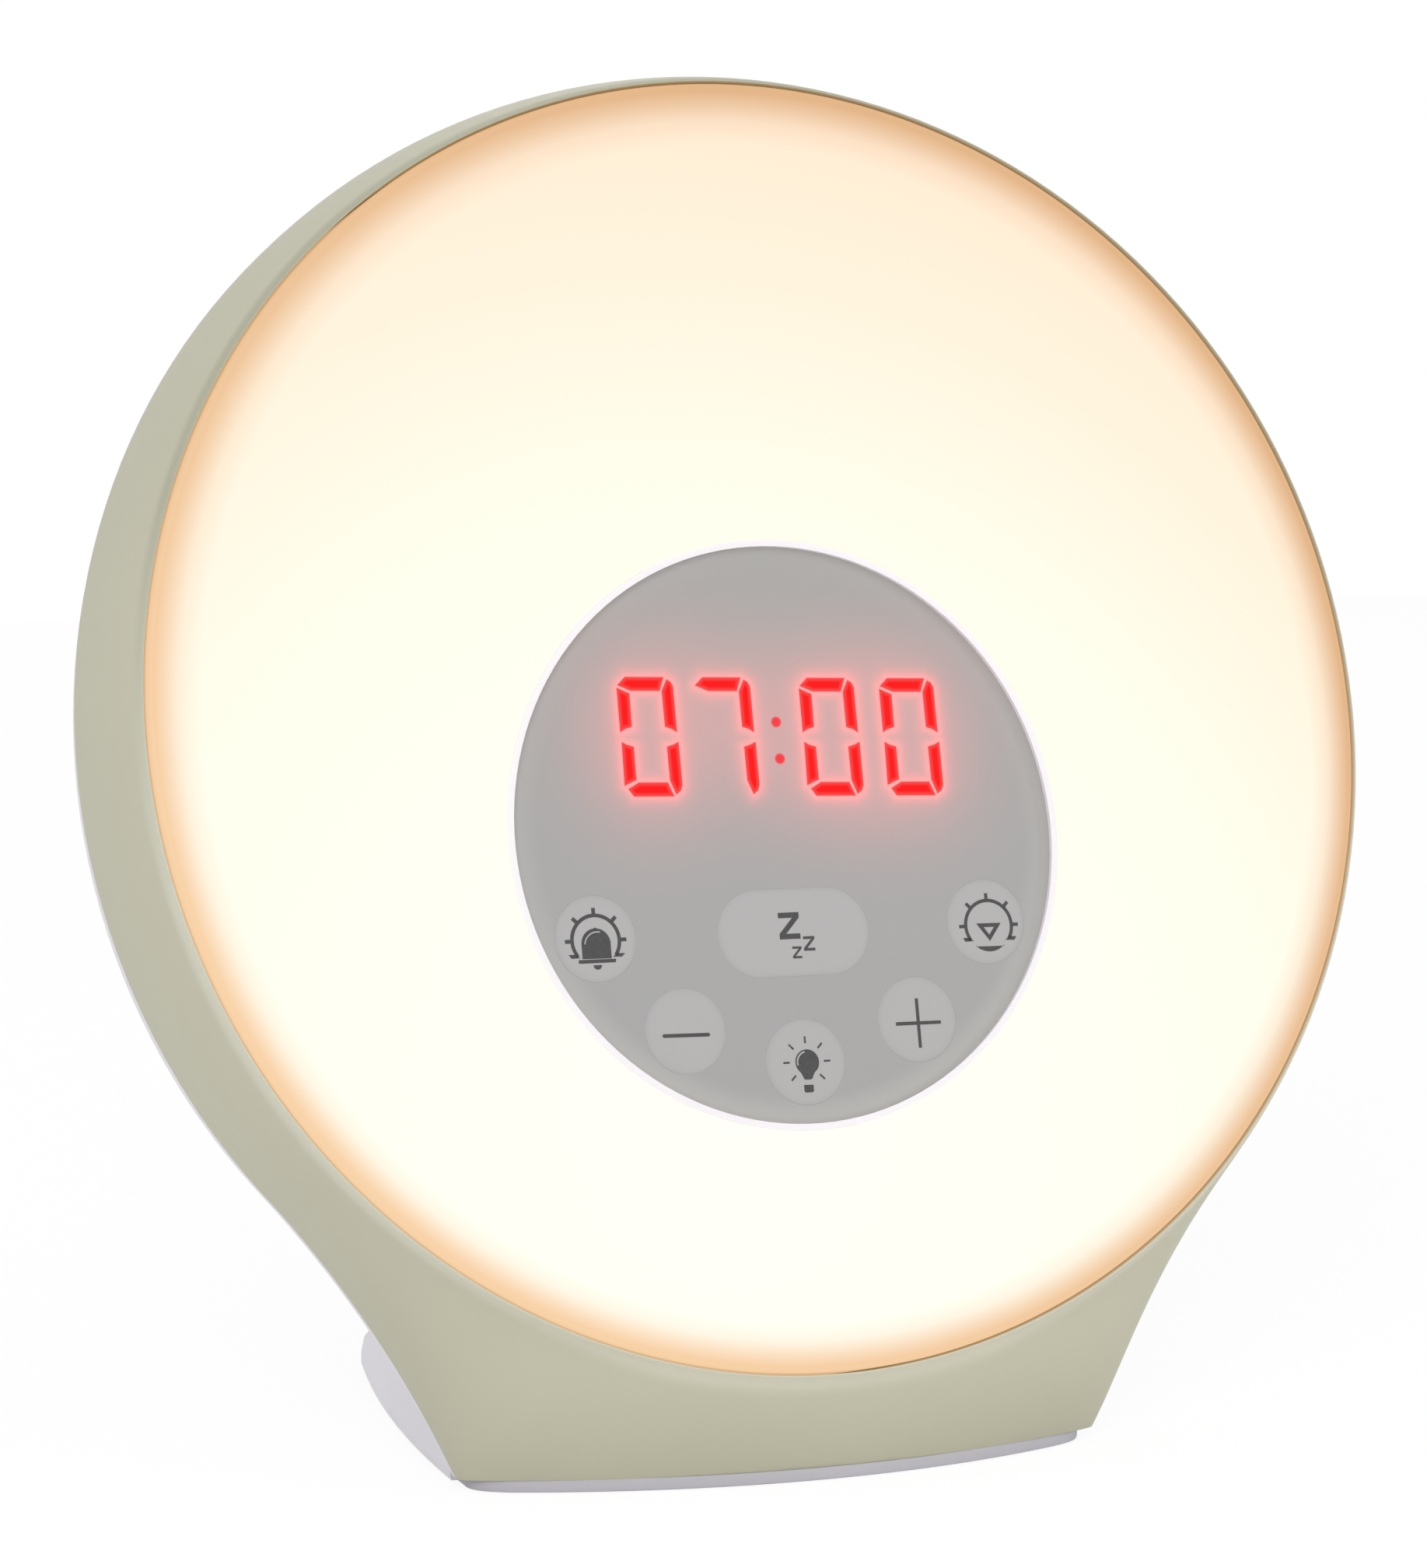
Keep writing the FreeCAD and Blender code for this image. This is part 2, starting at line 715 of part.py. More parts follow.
def make_mid_frame():
    """A plate clamped between the casings by the case screws; it carries the lamp and the panel."""
    disc = cylinder(crown(mid_frame_depth) - casing_wall - frame_gap, mid_frame_depth, post_front)
    for side in (-1, 1):
        for up in (-1, 1):
            disc = disc.cut(slab(window_width, window_height, window_corner, 0, all_through,
                                 side * window_x, up * window_v))
    for x, v in screw_places:
        disc = disc.cut(cylinder(screw_radius + screw_slack, 0, all_through, x, v))
    return with_housing_holes(disc)


def make_grille():
    """Round speaker grille with rings of holes, held behind the lip of its window."""
    disc = cylinder(grille_radius, back_inside, grille_back, 0, speaker_v)
    holes = [cylinder(grille_hole, 0, all_through, 0, speaker_v)]
    pitch = (grille_radius - grille_margin) / grille_rings
    for ring in range(1, grille_rings + 1):
        for n in range(6 * ring):
            x, v = polar((ring - 0.2) * pitch, 360 * n / (6 * ring))
            holes.append(cylinder(grille_hole, 0, all_through, x, v + speaker_v))
    return disc.cut(Part.makeCompound(holes))


def speaker_bowl(wall):
    """The cone-shaped space in the basket, drawn in by a wall."""
    front = basket_front + basket_skin + wall
    return Part.makeCone(cone_throat - wall, speaker_radius - cone_edge - wall, speaker_depth - basket_skin,
                         V(0, front, speaker_v), V(0, 1, 0))


def make_speaker_frame():
    return cylinder(speaker_radius, basket_front, speaker_back, 0, speaker_v).cut(speaker_bowl(0.0))


def make_speaker_cone():
    """The paper cone inside the basket."""
    cone = speaker_bowl(0.0).cut(speaker_bowl(cone_paper))
    return cone.cut(cylinder(speaker_radius, speaker_back - fit_gap, all_through, 0, speaker_v))


def make_door():
    """Battery door: a plate with two tabs under the wall below it, a latch and a finger notch."""
    plate = slab(door_width, door_height, 1.8, back_depth - door_thickness, back_depth, door_x, door_v)
    low = door_v - door_height / 2
    high = door_v + door_height / 2
    neck = tab_thickness + 0.6
    tab_front = tab_back - tab_thickness
    plate_front = back_depth - door_thickness
    for side in (-1, 1):
        x = door_x + side * tab_spacing
        tab = block(tab_width, tab_reach + neck, tab_front, tab_back, x, low + (neck - tab_reach) / 2)
        root = block(tab_width, neck, tab_front, plate_front, x, low + neck / 2)
        plate = plate.fuse(tab).fuse(root)
    latch = block(latch_width, latch_thickness, back_inside - latch_reach, plate_front, door_x,
                  high - latch_thickness / 2 - 0.9)
    notch = pill(notch_width, notch_height, back_depth - notch_depth, all_through, door_x, high - 3.4)
    return plate.fuse(latch).cut(notch)


def make_inlet():
    """Metal shell of the power inlet, with its tongue."""
    front = back_depth - inlet_length
    back = back_depth - 0.1
    shell = pill(inlet_width, inlet_height, front, back, inlet_x, inlet_v)
    cavity = pill(inlet_width - 2 * inlet_wall, inlet_height - 2 * inlet_wall, front + blind_end, all_through,
                  inlet_x, inlet_v)
    tongue_width = inlet_width - inlet_height + 0.9
    tongue = block(tongue_width, 2 * inlet_wall, front + 0.4, back - 1.1, inlet_x, inlet_v)
    return shell.cut(cavity).fuse(tongue)


def make_inlet_board():
    high = inlet_v - inlet_height / 2
    return block(inlet_board_width, inlet_board_thickness, main_board_back, back_inside - fit_gap,
                 inlet_x, high - inlet_board_thickness / 2)


def make_battery_contacts():
    """A flat contact under the cell and a springy one at its side."""
    under = slab(12, 6, 1.0, tray_floor, tray_floor + contact_thickness, door_x, door_v)
    tip = tray_floor + contact_thickness + cell_thickness + 1.0
    beside = block(contact_thickness, contact_width, tray_floor, tip,
                   door_x + cell_radius + contact_thickness / 2, door_v)
    return Part.makeCompound([under, beside])


def make_main_board():
    board = slab(main_board_width, main_board_height, 2.0, main_board_depth, main_board_back, 0, main_board_v)
    for x, v in main_board_posts:
        board = board.cut(cylinder(small_screw_radius + fit_gap, 0, all_through, x, v))
    return board


def make_main_board_parts():
    """Chips, an inductor, connectors and capacitors on the front side of the main board."""
    back = main_board_depth
    parts = [slab(9, 9, 0.3, back - 1.4, back, -14, main_board_v + 2),
             slab(7, 5, 0.3, back - 1.6, back, 12, main_board_v + 8),
             slab(8, 8, 1.2, back - 4.5, back, 22, main_board_v - 4),
             block(18, 6, back - ribbon_socket, back, 0, ribbon_end_v),
             block(7, 5, back - lead_socket, back, light_lead_x + 2.0, light_lead_end_v)]
    for n in range(3):
        parts.append(cylinder(3.2, back - 8.0, back, -32 + 8 * n, main_board_v - 8))
    return Part.makeCompound(parts)


def lane(path, bend, aside):
    """One long edge of a flat lead, set aside from its route: straight runs joined by arcs."""
    ways = [(b - a).normalize() for a, b in zip(path, path[1:])]
    lefts = [V(0, -way.z, way.y) for way in ways]
    edges = []
    start = path[0] + lefts[0] * aside
    for corner in range(1, len(ways)):
        before = ways[corner - 1]
        after = ways[corner]
        left = lefts[corner - 1]
        hand = 1 if left.dot(after) > 0 else -1
        reach = bend * math.tan(before.getAngle(after) / 2)
        into = path[corner] - before * reach
        centre = into + left * bend * hand
        outward = (path[corner] - centre).normalize()
        first = into + left * aside
        last = path[corner] + after * reach + lefts[corner] * aside
        edges.append(Part.makeLine(start, first))
        edges.append(Part.Arc(first, centre + outward * (bend - hand * aside), last).toShape())
        start = last
    edges.append(Part.makeLine(start, path[-1] + lefts[-1] * aside))
    return edges


def strip(route, thickness, width, bend, x):
    """A flat lead along a route of (depth, v) points."""
    path = [V(x - width / 2, d, v) for d, v in route]
    upper = lane(path, bend, thickness / 2)
    lower = lane(path, bend, -thickness / 2)
    ends = [Part.makeLine(upper[0].Vertexes[0].Point, lower[0].Vertexes[0].Point),
            Part.makeLine(upper[-1].Vertexes[-1].Point, lower[-1].Vertexes[-1].Point)]
    return Part.Face(Part.Wire(Part.__sortEdges__(upper + lower + ends))).extrude(V(width, 0, 0))


def make_ribbon():
    end = main_board_depth - ribbon_socket
    route = [(board_back, ribbon_v), (end - 15.5, ribbon_v), (end - 12, ribbon_end_v), (end, ribbon_end_v)]
    return strip(route, ribbon_thickness, ribbon_width, 4.0, 0)


def make_light_lead():
    end = main_board_depth - lead_socket
    route = [(mid_frame_depth, light_lead_v), (post_front + 6, light_lead_v), (end - 9, light_lead_end_v),
             (end, light_lead_end_v)]
    return strip(route, lead_thickness, lead_width, 4.0, light_lead_x)


def make_speaker_lead():
    high = speaker_v - (magnet_radius + speaker_radius) / 2 + 1.0
    bend_depth = (main_board_back + basket_front) / 2
    route = [(main_board_back, speaker_lead_end_v), (bend_depth, speaker_lead_end_v), (bend_depth, high),
             (basket_front, high)]
    return strip(route, lead_thickness, lead_width, 1.2, speaker_lead_x)


def screws_at(places, front, back, shift=0.0):
    return Part.makeCompound([screw(front, back, x, v + shift) for x, v in places])


def face_screws_at(places, head_front, length, shift=0.0):
    return Part.makeCompound([face_screw(head_front, length, x, v + shift) for x, v in places])


display_body, display_lenses = make_display()
cell_front = tray_floor + contact_thickness

face_nodes = {
    "diffuser": make_diffuser(),
    "panel_housing": make_panel_housing(),
    "control_fascia": make_fascia(),
    "control_board": make_control_board(),
    "tact_switches": make_tact_switches(),
    "led_display": display_body,
    "display_segments": display_lenses,
    "reflector": make_reflector(),
    "light_board": make_light_board(),
    "light_leds": make_light_leds(),
    "mid_frame": make_mid_frame(),
    "speaker_grille": make_grille(),
    "speaker_gasket": tube(speaker_radius, grille_radius - 1.0, speaker_back, back_inside, 0, speaker_v),
    "speaker_frame": make_speaker_frame(),
    "speaker_cone": make_speaker_cone(),
    "speaker_magnet": cylinder(magnet_radius, basket_front - magnet_depth, basket_front, 0, speaker_v),
    "main_board": make_main_board(),
    "main_board_parts": make_main_board_parts(),
    "power_inlet": make_inlet(),
    "inlet_board": make_inlet_board(),
    "coin_cell": cylinder(cell_radius, cell_front, cell_front + cell_thickness, door_x, door_v),
    "battery_contacts": make_battery_contacts(),
    "battery_door": make_door(),
    "ribbon_cable": make_ribbon(),
    "light_lead": make_light_lead(),
    "speaker_lead": make_speaker_lead(),
    "case_screws": screws_at(screw_places, diffuser_depth + 3, counterbore_depth),
    "housing_screws": screws_at(housing_screw_places, board_back + 1.2, post_front, panel_axis),
    "board_screws": face_screws_at(board_screw_places, control_board_depth - screw_head_height,
                                   board_thickness + 2.4, panel_axis),
    "main_board_screws": face_screws_at(main_board_posts, main_board_depth - screw_head_height,
                                        board_thickness + 5.0),
}
for key_name in key_places:
    face_nodes[key_name + "_key"] = make_key(key_name)
    face_nodes[key_name + "_plunger"] = make_plunger(key_name)

nodes = {name: stand(shape) for name, shape in face_nodes.items()}
nodes["front_casing"] = make_front_casing()
nodes["rear_casing"] = make_rear_casing()
nodes["foot_pad"] = make_foot_pad()

# The origin is the middle of the whole object's box, on the surface that it stands on.
box = Part.makeCompound([nodes[n] for n in ("diffuser", "front_casing", "rear_casing", "foot_pad")])
box = box.optimalBoundingBox(False, False)
middle = (box.YMin + box.YMax) / 2
print("box", [round(value, 2) for value in (box.XMin, box.YMin, box.ZMin, box.XMax, box.YMax, box.ZMax)])
print("face centre", 0.0, round(-middle, 3), face_height)

os.makedirs("parts", exist_ok=True)
for name, shape in sorted(nodes.items()):
    shape.translate(V(0, -middle, 0))
    print(name, len(shape.Solids), shape.isValid(), round(shape.Volume, 1))
    shape.exportStep("parts/" + name + ".step")
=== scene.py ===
import math
import bmesh
import bpy
from mathutils import Matrix, Vector, geometry


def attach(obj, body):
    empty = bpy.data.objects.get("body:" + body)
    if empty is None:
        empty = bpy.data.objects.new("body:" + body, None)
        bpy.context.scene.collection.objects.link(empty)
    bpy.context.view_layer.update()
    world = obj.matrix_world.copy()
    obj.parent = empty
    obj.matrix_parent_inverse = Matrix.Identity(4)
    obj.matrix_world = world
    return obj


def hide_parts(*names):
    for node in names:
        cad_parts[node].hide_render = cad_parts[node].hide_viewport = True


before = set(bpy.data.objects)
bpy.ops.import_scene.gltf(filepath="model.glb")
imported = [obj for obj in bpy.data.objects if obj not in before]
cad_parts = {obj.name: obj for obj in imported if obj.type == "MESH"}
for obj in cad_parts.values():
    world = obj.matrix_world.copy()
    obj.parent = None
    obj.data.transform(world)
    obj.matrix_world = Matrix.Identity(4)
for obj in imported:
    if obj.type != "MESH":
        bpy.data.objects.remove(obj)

scene = bpy.context.scene
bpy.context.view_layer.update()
print("frame loaded with", len(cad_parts), "nodes")

# The clock is drawn in millimetres on its face: x to the right, depth back from the rim, v up the face.
face = {"tilt": 14.5, "centre": (0.0, -0.032011, 0.0944), "panelCentre": -14.8, "panelRadius": 36.48}
tilt = math.radians(face["tilt"])
faceCentre = Vector(face["centre"])
faceBack = Vector((0.0, math.cos(tilt), -math.sin(tilt)))
faceUp = Vector((0.0, math.sin(tilt), math.cos(tilt)))
panelCentre = face["panelCentre"]
mm = 0.001


def onFace(x, depth, v):
    return faceCentre + (Vector((x, 0.0, 0.0)) + faceBack * depth + faceUp * v) * mm


def linear(hexColour):
    channels = [int(hexColour[i:i + 2], 16) / 255 for i in (1, 3, 5)]
    return [c / 12.92 if c <= 0.04045 else ((c + 0.055) / 1.055) ** 2.4 for c in channels] + [1.0]


def addNode(tree, kind, inputs=None, **options):
    # inputs are plain values, hex colours, sockets, or nodes, whose first output is meant
    node = tree.nodes.new(kind)
    for name, value in options.items():
        setattr(node, name, value)
    for name, value in (inputs or {}).items():
        if isinstance(value, bpy.types.Node):
            value = value.outputs[0]
        elif isinstance(value, str) and value.startswith("#"):
            value = linear(value)
        if isinstance(value, bpy.types.NodeSocket):
            tree.links.new(value, node.inputs[name])
        else:
            node.inputs[name].default_value = value
    return node


def addObject(name, data):
    item = bpy.data.objects.new(name, data)
    scene.collection.objects.link(item)
    return item


finishes = {}


def startFinish(name):
    # a new material, kept by its name; its empty node tree is given back
    material = bpy.data.materials.new(name)
    material.use_nodes = True
    material.node_tree.nodes.clear()
    finishes[name] = material
    return material.node_tree


# ---- camera, from the photograph's vanishing lines and the ellipse of the round face
cameraPlan = {"azimuth": -23.681, "elevation": 4.81, "roll": 0.514, "distance": 0.700,
              "lens": 128.26, "sensor": 36.0, "shift": (-0.0406, -0.0434)}


def makeCamera(plan):
    azimuth, elevation, roll = (math.radians(plan[key]) for key in ("azimuth", "elevation", "roll"))
    back = Vector((math.sin(azimuth) * math.cos(elevation), -math.cos(azimuth) * math.cos(elevation),
                   math.sin(elevation)))
    right = Vector((math.cos(azimuth), math.sin(azimuth), 0.0))
    up = back.cross(right)
    axes = Matrix((right * math.cos(roll) + up * math.sin(roll), up * math.cos(roll) - right * math.sin(roll), back))
    data = bpy.data.cameras.new("photoCamera")
    data.lens = plan["lens"]
    data.sensor_width = plan["sensor"]
    data.shift_x, data.shift_y = plan["shift"]
    data.clip_start = 0.01
    scene.camera = addObject("photoCamera", data)
    spot = faceCentre + back * plan["distance"]
    scene.camera.matrix_world = Matrix.Translation(spot) @ axes.transposed().to_4x4()


makeCamera(cameraPlan)

# ---- studio: soft even light, white backdrop, a floor that keeps the object's shadow
studio = {"airStrength": 0.68, "floorSize": 3.0, "floorShare": 0.10, "floorDrop": 0.0002, "aim": (0.0, 0.0, 0.08),
          "lamps": (("keyLamp", (-0.8, -1.4, 0.8), 0.9, 8.5), ("fillLamp", (1.2, -1.3, 0.4), 1.1, 5.0),
                    ("backLamp", (0.3, 1.3, 1.1), 0.9, 3.0))}


def seenDirectly(tree):
    # 1 where the camera, a reflection or glass looks at the backdrop, 0 where it only gives light
    path = addNode(tree, "ShaderNodeLightPath").outputs
    glossy = addNode(tree, "ShaderNodeMath", {0: path["Is Camera Ray"], 1: path["Is Glossy Ray"]}, operation="MAXIMUM")
    return addNode(tree, "ShaderNodeMath", {0: glossy, 1: path["Is Transmission Ray"]}, operation="MAXIMUM")


def makeStudio(plan):
    white = "#ffffff"
    world = bpy.data.worlds.new("studioAir")
    world.use_nodes = True
    scene.world = world
    tree = world.node_tree
    tree.nodes.clear()
    light = addNode(tree, "ShaderNodeBackground", {"Color": white, "Strength": plan["airStrength"]})
    seen = addNode(tree, "ShaderNodeBackground", {"Color": white, "Strength": 1.0})
    mixed = addNode(tree, "ShaderNodeMixShader", {0: seenDirectly(tree), 1: light, 2: seen})
    addNode(tree, "ShaderNodeOutputWorld", {"Surface": mixed})

    for name, place, size, power in plan["lamps"]:
        lamp = bpy.data.lights.new(name, "AREA")
        lamp.shape = "DISK"
        lamp.size = size
        lamp.energy = power
        holder = addObject(name, lamp)
        holder.location = place
        holder.rotation_euler = (Vector(plan["aim"]) - Vector(place)).to_track_quat("-Z", "Y").to_euler()

    tree = startFinish("whitePaperFloor")   # matt paper: only the soft shadow tells it from the air
    paper = addNode(tree, "ShaderNodeBsdfDiffuse", {"Color": white, "Roughness": 1.0})
    glow = addNode(tree, "ShaderNodeEmission", {"Color": white, "Strength": 1.0})
    share = addNode(tree, "ShaderNodeMath", {0: seenDirectly(tree), 1: 1.0 - plan["floorShare"]}, operation="MULTIPLY")
    mixed = addNode(tree, "ShaderNodeMixShader", {0: share, 1: paper, 2: glow})
    addNode(tree, "ShaderNodeOutputMaterial", {"Surface": mixed})
    half = plan["floorSize"] / 2
    mesh = bpy.data.meshes.new("paperFloor")
    mesh.from_pydata([(x * half, y * half, -plan["floorDrop"]) for x, y in ((-1, -1), (1, -1), (1, 1), (-1, 1))],
                     [], [(0, 1, 2, 3)])
    mesh.materials.append(finishes["whitePaperFloor"])
    addObject("paperFloor", mesh)


makeStudio(studio)
scene.view_settings.view_transform = "Standard"
print("camera and studio made")

# ---- finishes: patterns first, with their sizes in millimetres


def mottle(tree, place, size, low, high, detail=2.0):
    # soft blotches between two values
    blotch = addNode(tree, "ShaderNodeTexNoise", {"Vector": place, "Scale": 1.0 / (size * mm), "Detail": detail,
                     "Roughness": 0.5})
    return addNode(tree, "ShaderNodeMapRange", {"Value": blotch, "From Min": 0.3, "From Max": 0.7, "To Min": low,
                   "To Max": high})


def mottledColour(tree, place, size, first, second, detail=2.0):
    # the same blotches between two colours
    return addNode(tree, "ShaderNodeMix", {0: mottle(tree, place, size, 0.0, 1.0, detail), 6: first, 7: second},
                   data_type="RGBA").outputs[2]


def grain(tree, place, size, relief, strength, detail=3.0, harshness=0.5):
    # raised texture; relief is its height
    speck = addNode(tree, "ShaderNodeTexNoise", {"Vector": place, "Scale": 1.0 / (size * mm), "Detail": detail,
                    "Roughness": harshness})
    return addNode(tree, "ShaderNodeBump", {"Height": speck, "Strength": strength, "Distance": relief * mm})


def faceCoordinates(tree):
    # object coordinates turned to the face frame, in millimetres: x, depth, v
    place = addNode(tree, "ShaderNodeTexCoord").outputs["Object"]
    y = faceCentre.y * math.cos(tilt) - faceCentre.z * math.sin(tilt)
    z = faceCentre.y * math.sin(tilt) + faceCentre.z * math.cos(tilt)
    mapped = addNode(tree, "ShaderNodeMapping", {"Vector": place, "Location": (0.0, -y / mm, -z / mm),
                     "Rotation": (tilt, 0.0, 0.0), "Scale": (1 / mm, 1 / mm, 1 / mm)})
    return addNode(tree, "ShaderNodeSeparateXYZ", {0: mapped}).outputs


def farFrom(tree, x, v, spot):
    # distance on the face from a spot
    flat = addNode(tree, "ShaderNodeCombineXYZ", {0: x, 1: v})
    return addNode(tree, "ShaderNodeVectorMath", {0: flat, 1: (*spot, 0.0)}, operation="DISTANCE").outputs["Value"]


def surface(tree, inputs):
    shader = addNode(tree, "ShaderNodeBsdfPrincipled", inputs)
    addNode(tree, "ShaderNodeOutputMaterial", {"Surface": shader})


# name: colour, its paler variation, roughness low and high, grain size, relief, settings on the shader
plastics = {
    # moulded ABS in a cool off-white, fine spark-eroded texture: satin with very slight flow shading
    "whiteSatinAbs": ("#e4e1e6", "#e8e6ea", 0.44, 0.54, 0.35, 0.002, {"Specular IOR Level": 0.3}),
    # the panel's cup: the same plastic in a slightly pink white, painted brighter than the casing's as painted light
    # from the lit lens round it
    "glowPaintedWhiteAbs": ("#f1ecf0", "#f4f0f3", 0.40, 0.48, 0.35, 0.002, {"Specular IOR Level": 0.3}),
    # moulded silicone pad: matt, slightly dusty; its grey is partly painted shade, darker than the casing's white, for
    # the strip in shadow under the foot
    "paleSiliconeWithPaintedShade": ("#bebcc4", "#c3c1c9", 0.62, 0.75, 0.25, 0.004, {"Specular IOR Level": 0.3}),
    # styrene reflector dish: smooth and bright
    "whiteStyrene": ("#eeeeee", "#f4f4f4", 0.22, 0.30, 0.8, 0.002, {}),
    # white solder mask over glass fibre: the weave just telegraphs through
    "whiteSolderMask": ("#e4e4e0", "#ecece8", 0.28, 0.36, 0.5, 0.003, {}),
    # nylon switch bodies, chips and display block
    "blackNylon": ("#17181a", "#202124", 0.45, 0.60, 0.3, 0.006, {}),
    # open-cell foam: matt and pitted
    "blackFoam": ("#0f0f10", "#1c1c1e", 0.90, 0.98, 0.5, 0.08, {"Specular IOR Level": 0.1}),
    # pressed paper cone with visible fibres
    "conePaper": ("#2a2725", "#3b3733", 0.80, 0.92, 0.4, 0.03, {"Specular IOR Level": 0.2}),
    # sintered ferrite: dark, faintly grainy
    "sinteredFerrite": ("#2b2b2e", "#37373a", 0.50, 0.65, 0.3, 0.01, {}),
    # flexible vinyl on the leads
    "greyVinyl": ("#9a9da1", "#a6a9ad", 0.38, 0.50, 1.2, 0.004, {}),
    # phosphor-filled lens of the LEDs
    "phosphorLens": ("#e8c44e", "#f0d26a", 0.30, 0.40, 0.2, 0.004, {}),
}
flowSize = 45.0   # blotches of slight shading where the melt flowed


def makePlastic(name, colour, paler, smooth, rough, grainSize, relief, settings):
    tree = startFinish(name)
    place = addNode(tree, "ShaderNodeTexCoord").outputs["Object"]
    surface(tree, {**settings, "Base Color": mottledColour(tree, place, flowSize, colour, paler),
                   "Roughness": mottle(tree, place, grainSize * 4, smooth, rough),
                   "Normal": grain(tree, place, grainSize, relief, 0.35, harshness=0.6)})


# name: colour, brighter variation, roughness low and high, scratch length and width
metals = {
    # rolled and pressed steel, lightly brushed along the strip
    "pressedSteel": ("#a9abad", "#bfc1c3", 0.26, 0.40, 6.0, 0.25),
    # zinc-plated screws
    "zincSteel": ("#b4b3ac", "#c9c8c2", 0.24, 0.38, 1.5, 0.2),
    # nickel-plated shell of the inlet
    "nickelShell": ("#b9b8b4", "#cfcecb", 0.18, 0.30, 3.0, 0.15),
    # spring brass contacts
    "springBrass": ("#c9a557", "#dcbb70", 0.24, 0.38, 4.0, 0.2),
}


def makeMetal(name, colour, brighter, smooth, rough, length, width):
    tree = startFinish(name)
    place = addNode(tree, "ShaderNodeTexCoord").outputs["Object"]
    stretched = addNode(tree, "ShaderNodeMapping", {"Vector": place, "Scale": (width / length, 1.0, 1.0)}).outputs[0]
    surface(tree, {"Metallic": 1.0,
                   "Base Color": mottledColour(tree, stretched, width, colour, brighter),
                   "Roughness": mottle(tree, place, 2.0, smooth, rough, 3.0),
                   "Normal": grain(tree, stretched, width, 0.01, 0.2, 2.0)})


board = {"mask": ("#14512c", "#174f2f"), "track": "#2f7a49", "trackSpacing": 9.0, "weave": 0.9}


def makeCircuitBoard(plan):
    # glass-fibre board under green solder mask: glossy, with copper tracks showing paler through the mask
    tree = startFinish("greenSolderMask")
    place = addNode(tree, "ShaderNodeTexCoord").outputs["Object"]
    tracks = addNode(tree, "ShaderNodeTexBrick", {
        "Vector": place, "Scale": 1 / (plan["trackSpacing"] * mm), "Mortar Size": 0.05, "Mortar Smooth": 0.1,
        "Color1": plan["mask"][0], "Color2": plan["mask"][1], "Mortar": plan["track"]}, offset=0.37)
    weave = addNode(tree, "ShaderNodeTexWave", {"Vector": place, "Scale": 1 / (plan["weave"] * mm), "Distortion": 0.4})
    bump = addNode(tree, "ShaderNodeBump", {"Height": weave.outputs["Fac"], "Strength": 0.15, "Distance": 0.01 * mm})
    surface(tree, {"Roughness": 0.28, "Base Color": tracks, "Normal": bump})


sageFinish = {"colour": "#c1bfab", "paler": "#c5c3af", "lipPaintedLight": "#d0cebd", "lipPaintedShade": "#b3b29d", "paintedLipDepth": 2.4,
              "grain": 0.45, "relief": 0.0007}


def makeSage(plan):
    # moulded sage ABS, spark-eroded satin; its lip carries painted light, a shade paler low down where the lit lens
    # shines on it, and painted shade, darker high up
    tree = startFinish("sageSatinAbs")
    place = addNode(tree, "ShaderNodeTexCoord").outputs["Object"]
    depth, v = faceCoordinates(tree)[1:3]
    body = mottledColour(tree, place, flowSize, plan["colour"], plan["paler"])
    # painted light and shade on the lip: paler low on the face, darker high up, within a couple of mm of the front
    height = addNode(tree, "ShaderNodeMapRange", {"Value": v, "From Min": -20.0, "From Max": 30.0})
    lip = addNode(tree, "ShaderNodeMix", {0: height, 6: plan["lipPaintedLight"], 7: plan["lipPaintedShade"]},
                  data_type="RGBA").outputs[2]
    near = addNode(tree, "ShaderNodeMapRange", {"Value": depth, "From Min": plan["paintedLipDepth"],
                   "From Max": plan["paintedLipDepth"] * 0.35}, interpolation_type="SMOOTHSTEP")
    colour = addNode(tree, "ShaderNodeMix", {0: near, 6: body, 7: lip}, data_type="RGBA").outputs[2]
    surface(tree, {"Specular IOR Level": 0.2, "Base Color": colour, "Roughness": mottle(tree, place, 2.0, 0.55, 0.62),
                   "Normal": grain(tree, place, plan["grain"], plan["relief"], 0.25, 2.0)})


opalLight = {"radius": 82.0, "base": "#54534e", "strength": 0.93, "brightSpot": (-12.0, -50.0), "reach": 132.0,
             "middle": ((0.0, "#fffff4"), (0.35, "#fffdef"), (0.60, "#fff9e8"), (0.80, "#ffefd8"), (1.0, "#ffe4c9")),
             "edgeTop": "#dba66f", "edgeLow": "#f3c898", "bandLow": 6.2, "bandTop": 8.2,
             "edge": ((0.0, 0.96), (0.14, 1.0), (0.34, 0.72), (0.62, 0.26), (1.0, 0.0)),
             "wallStart": 0.5, "wallEnd": 0.9, "strengthShare": 0.74}


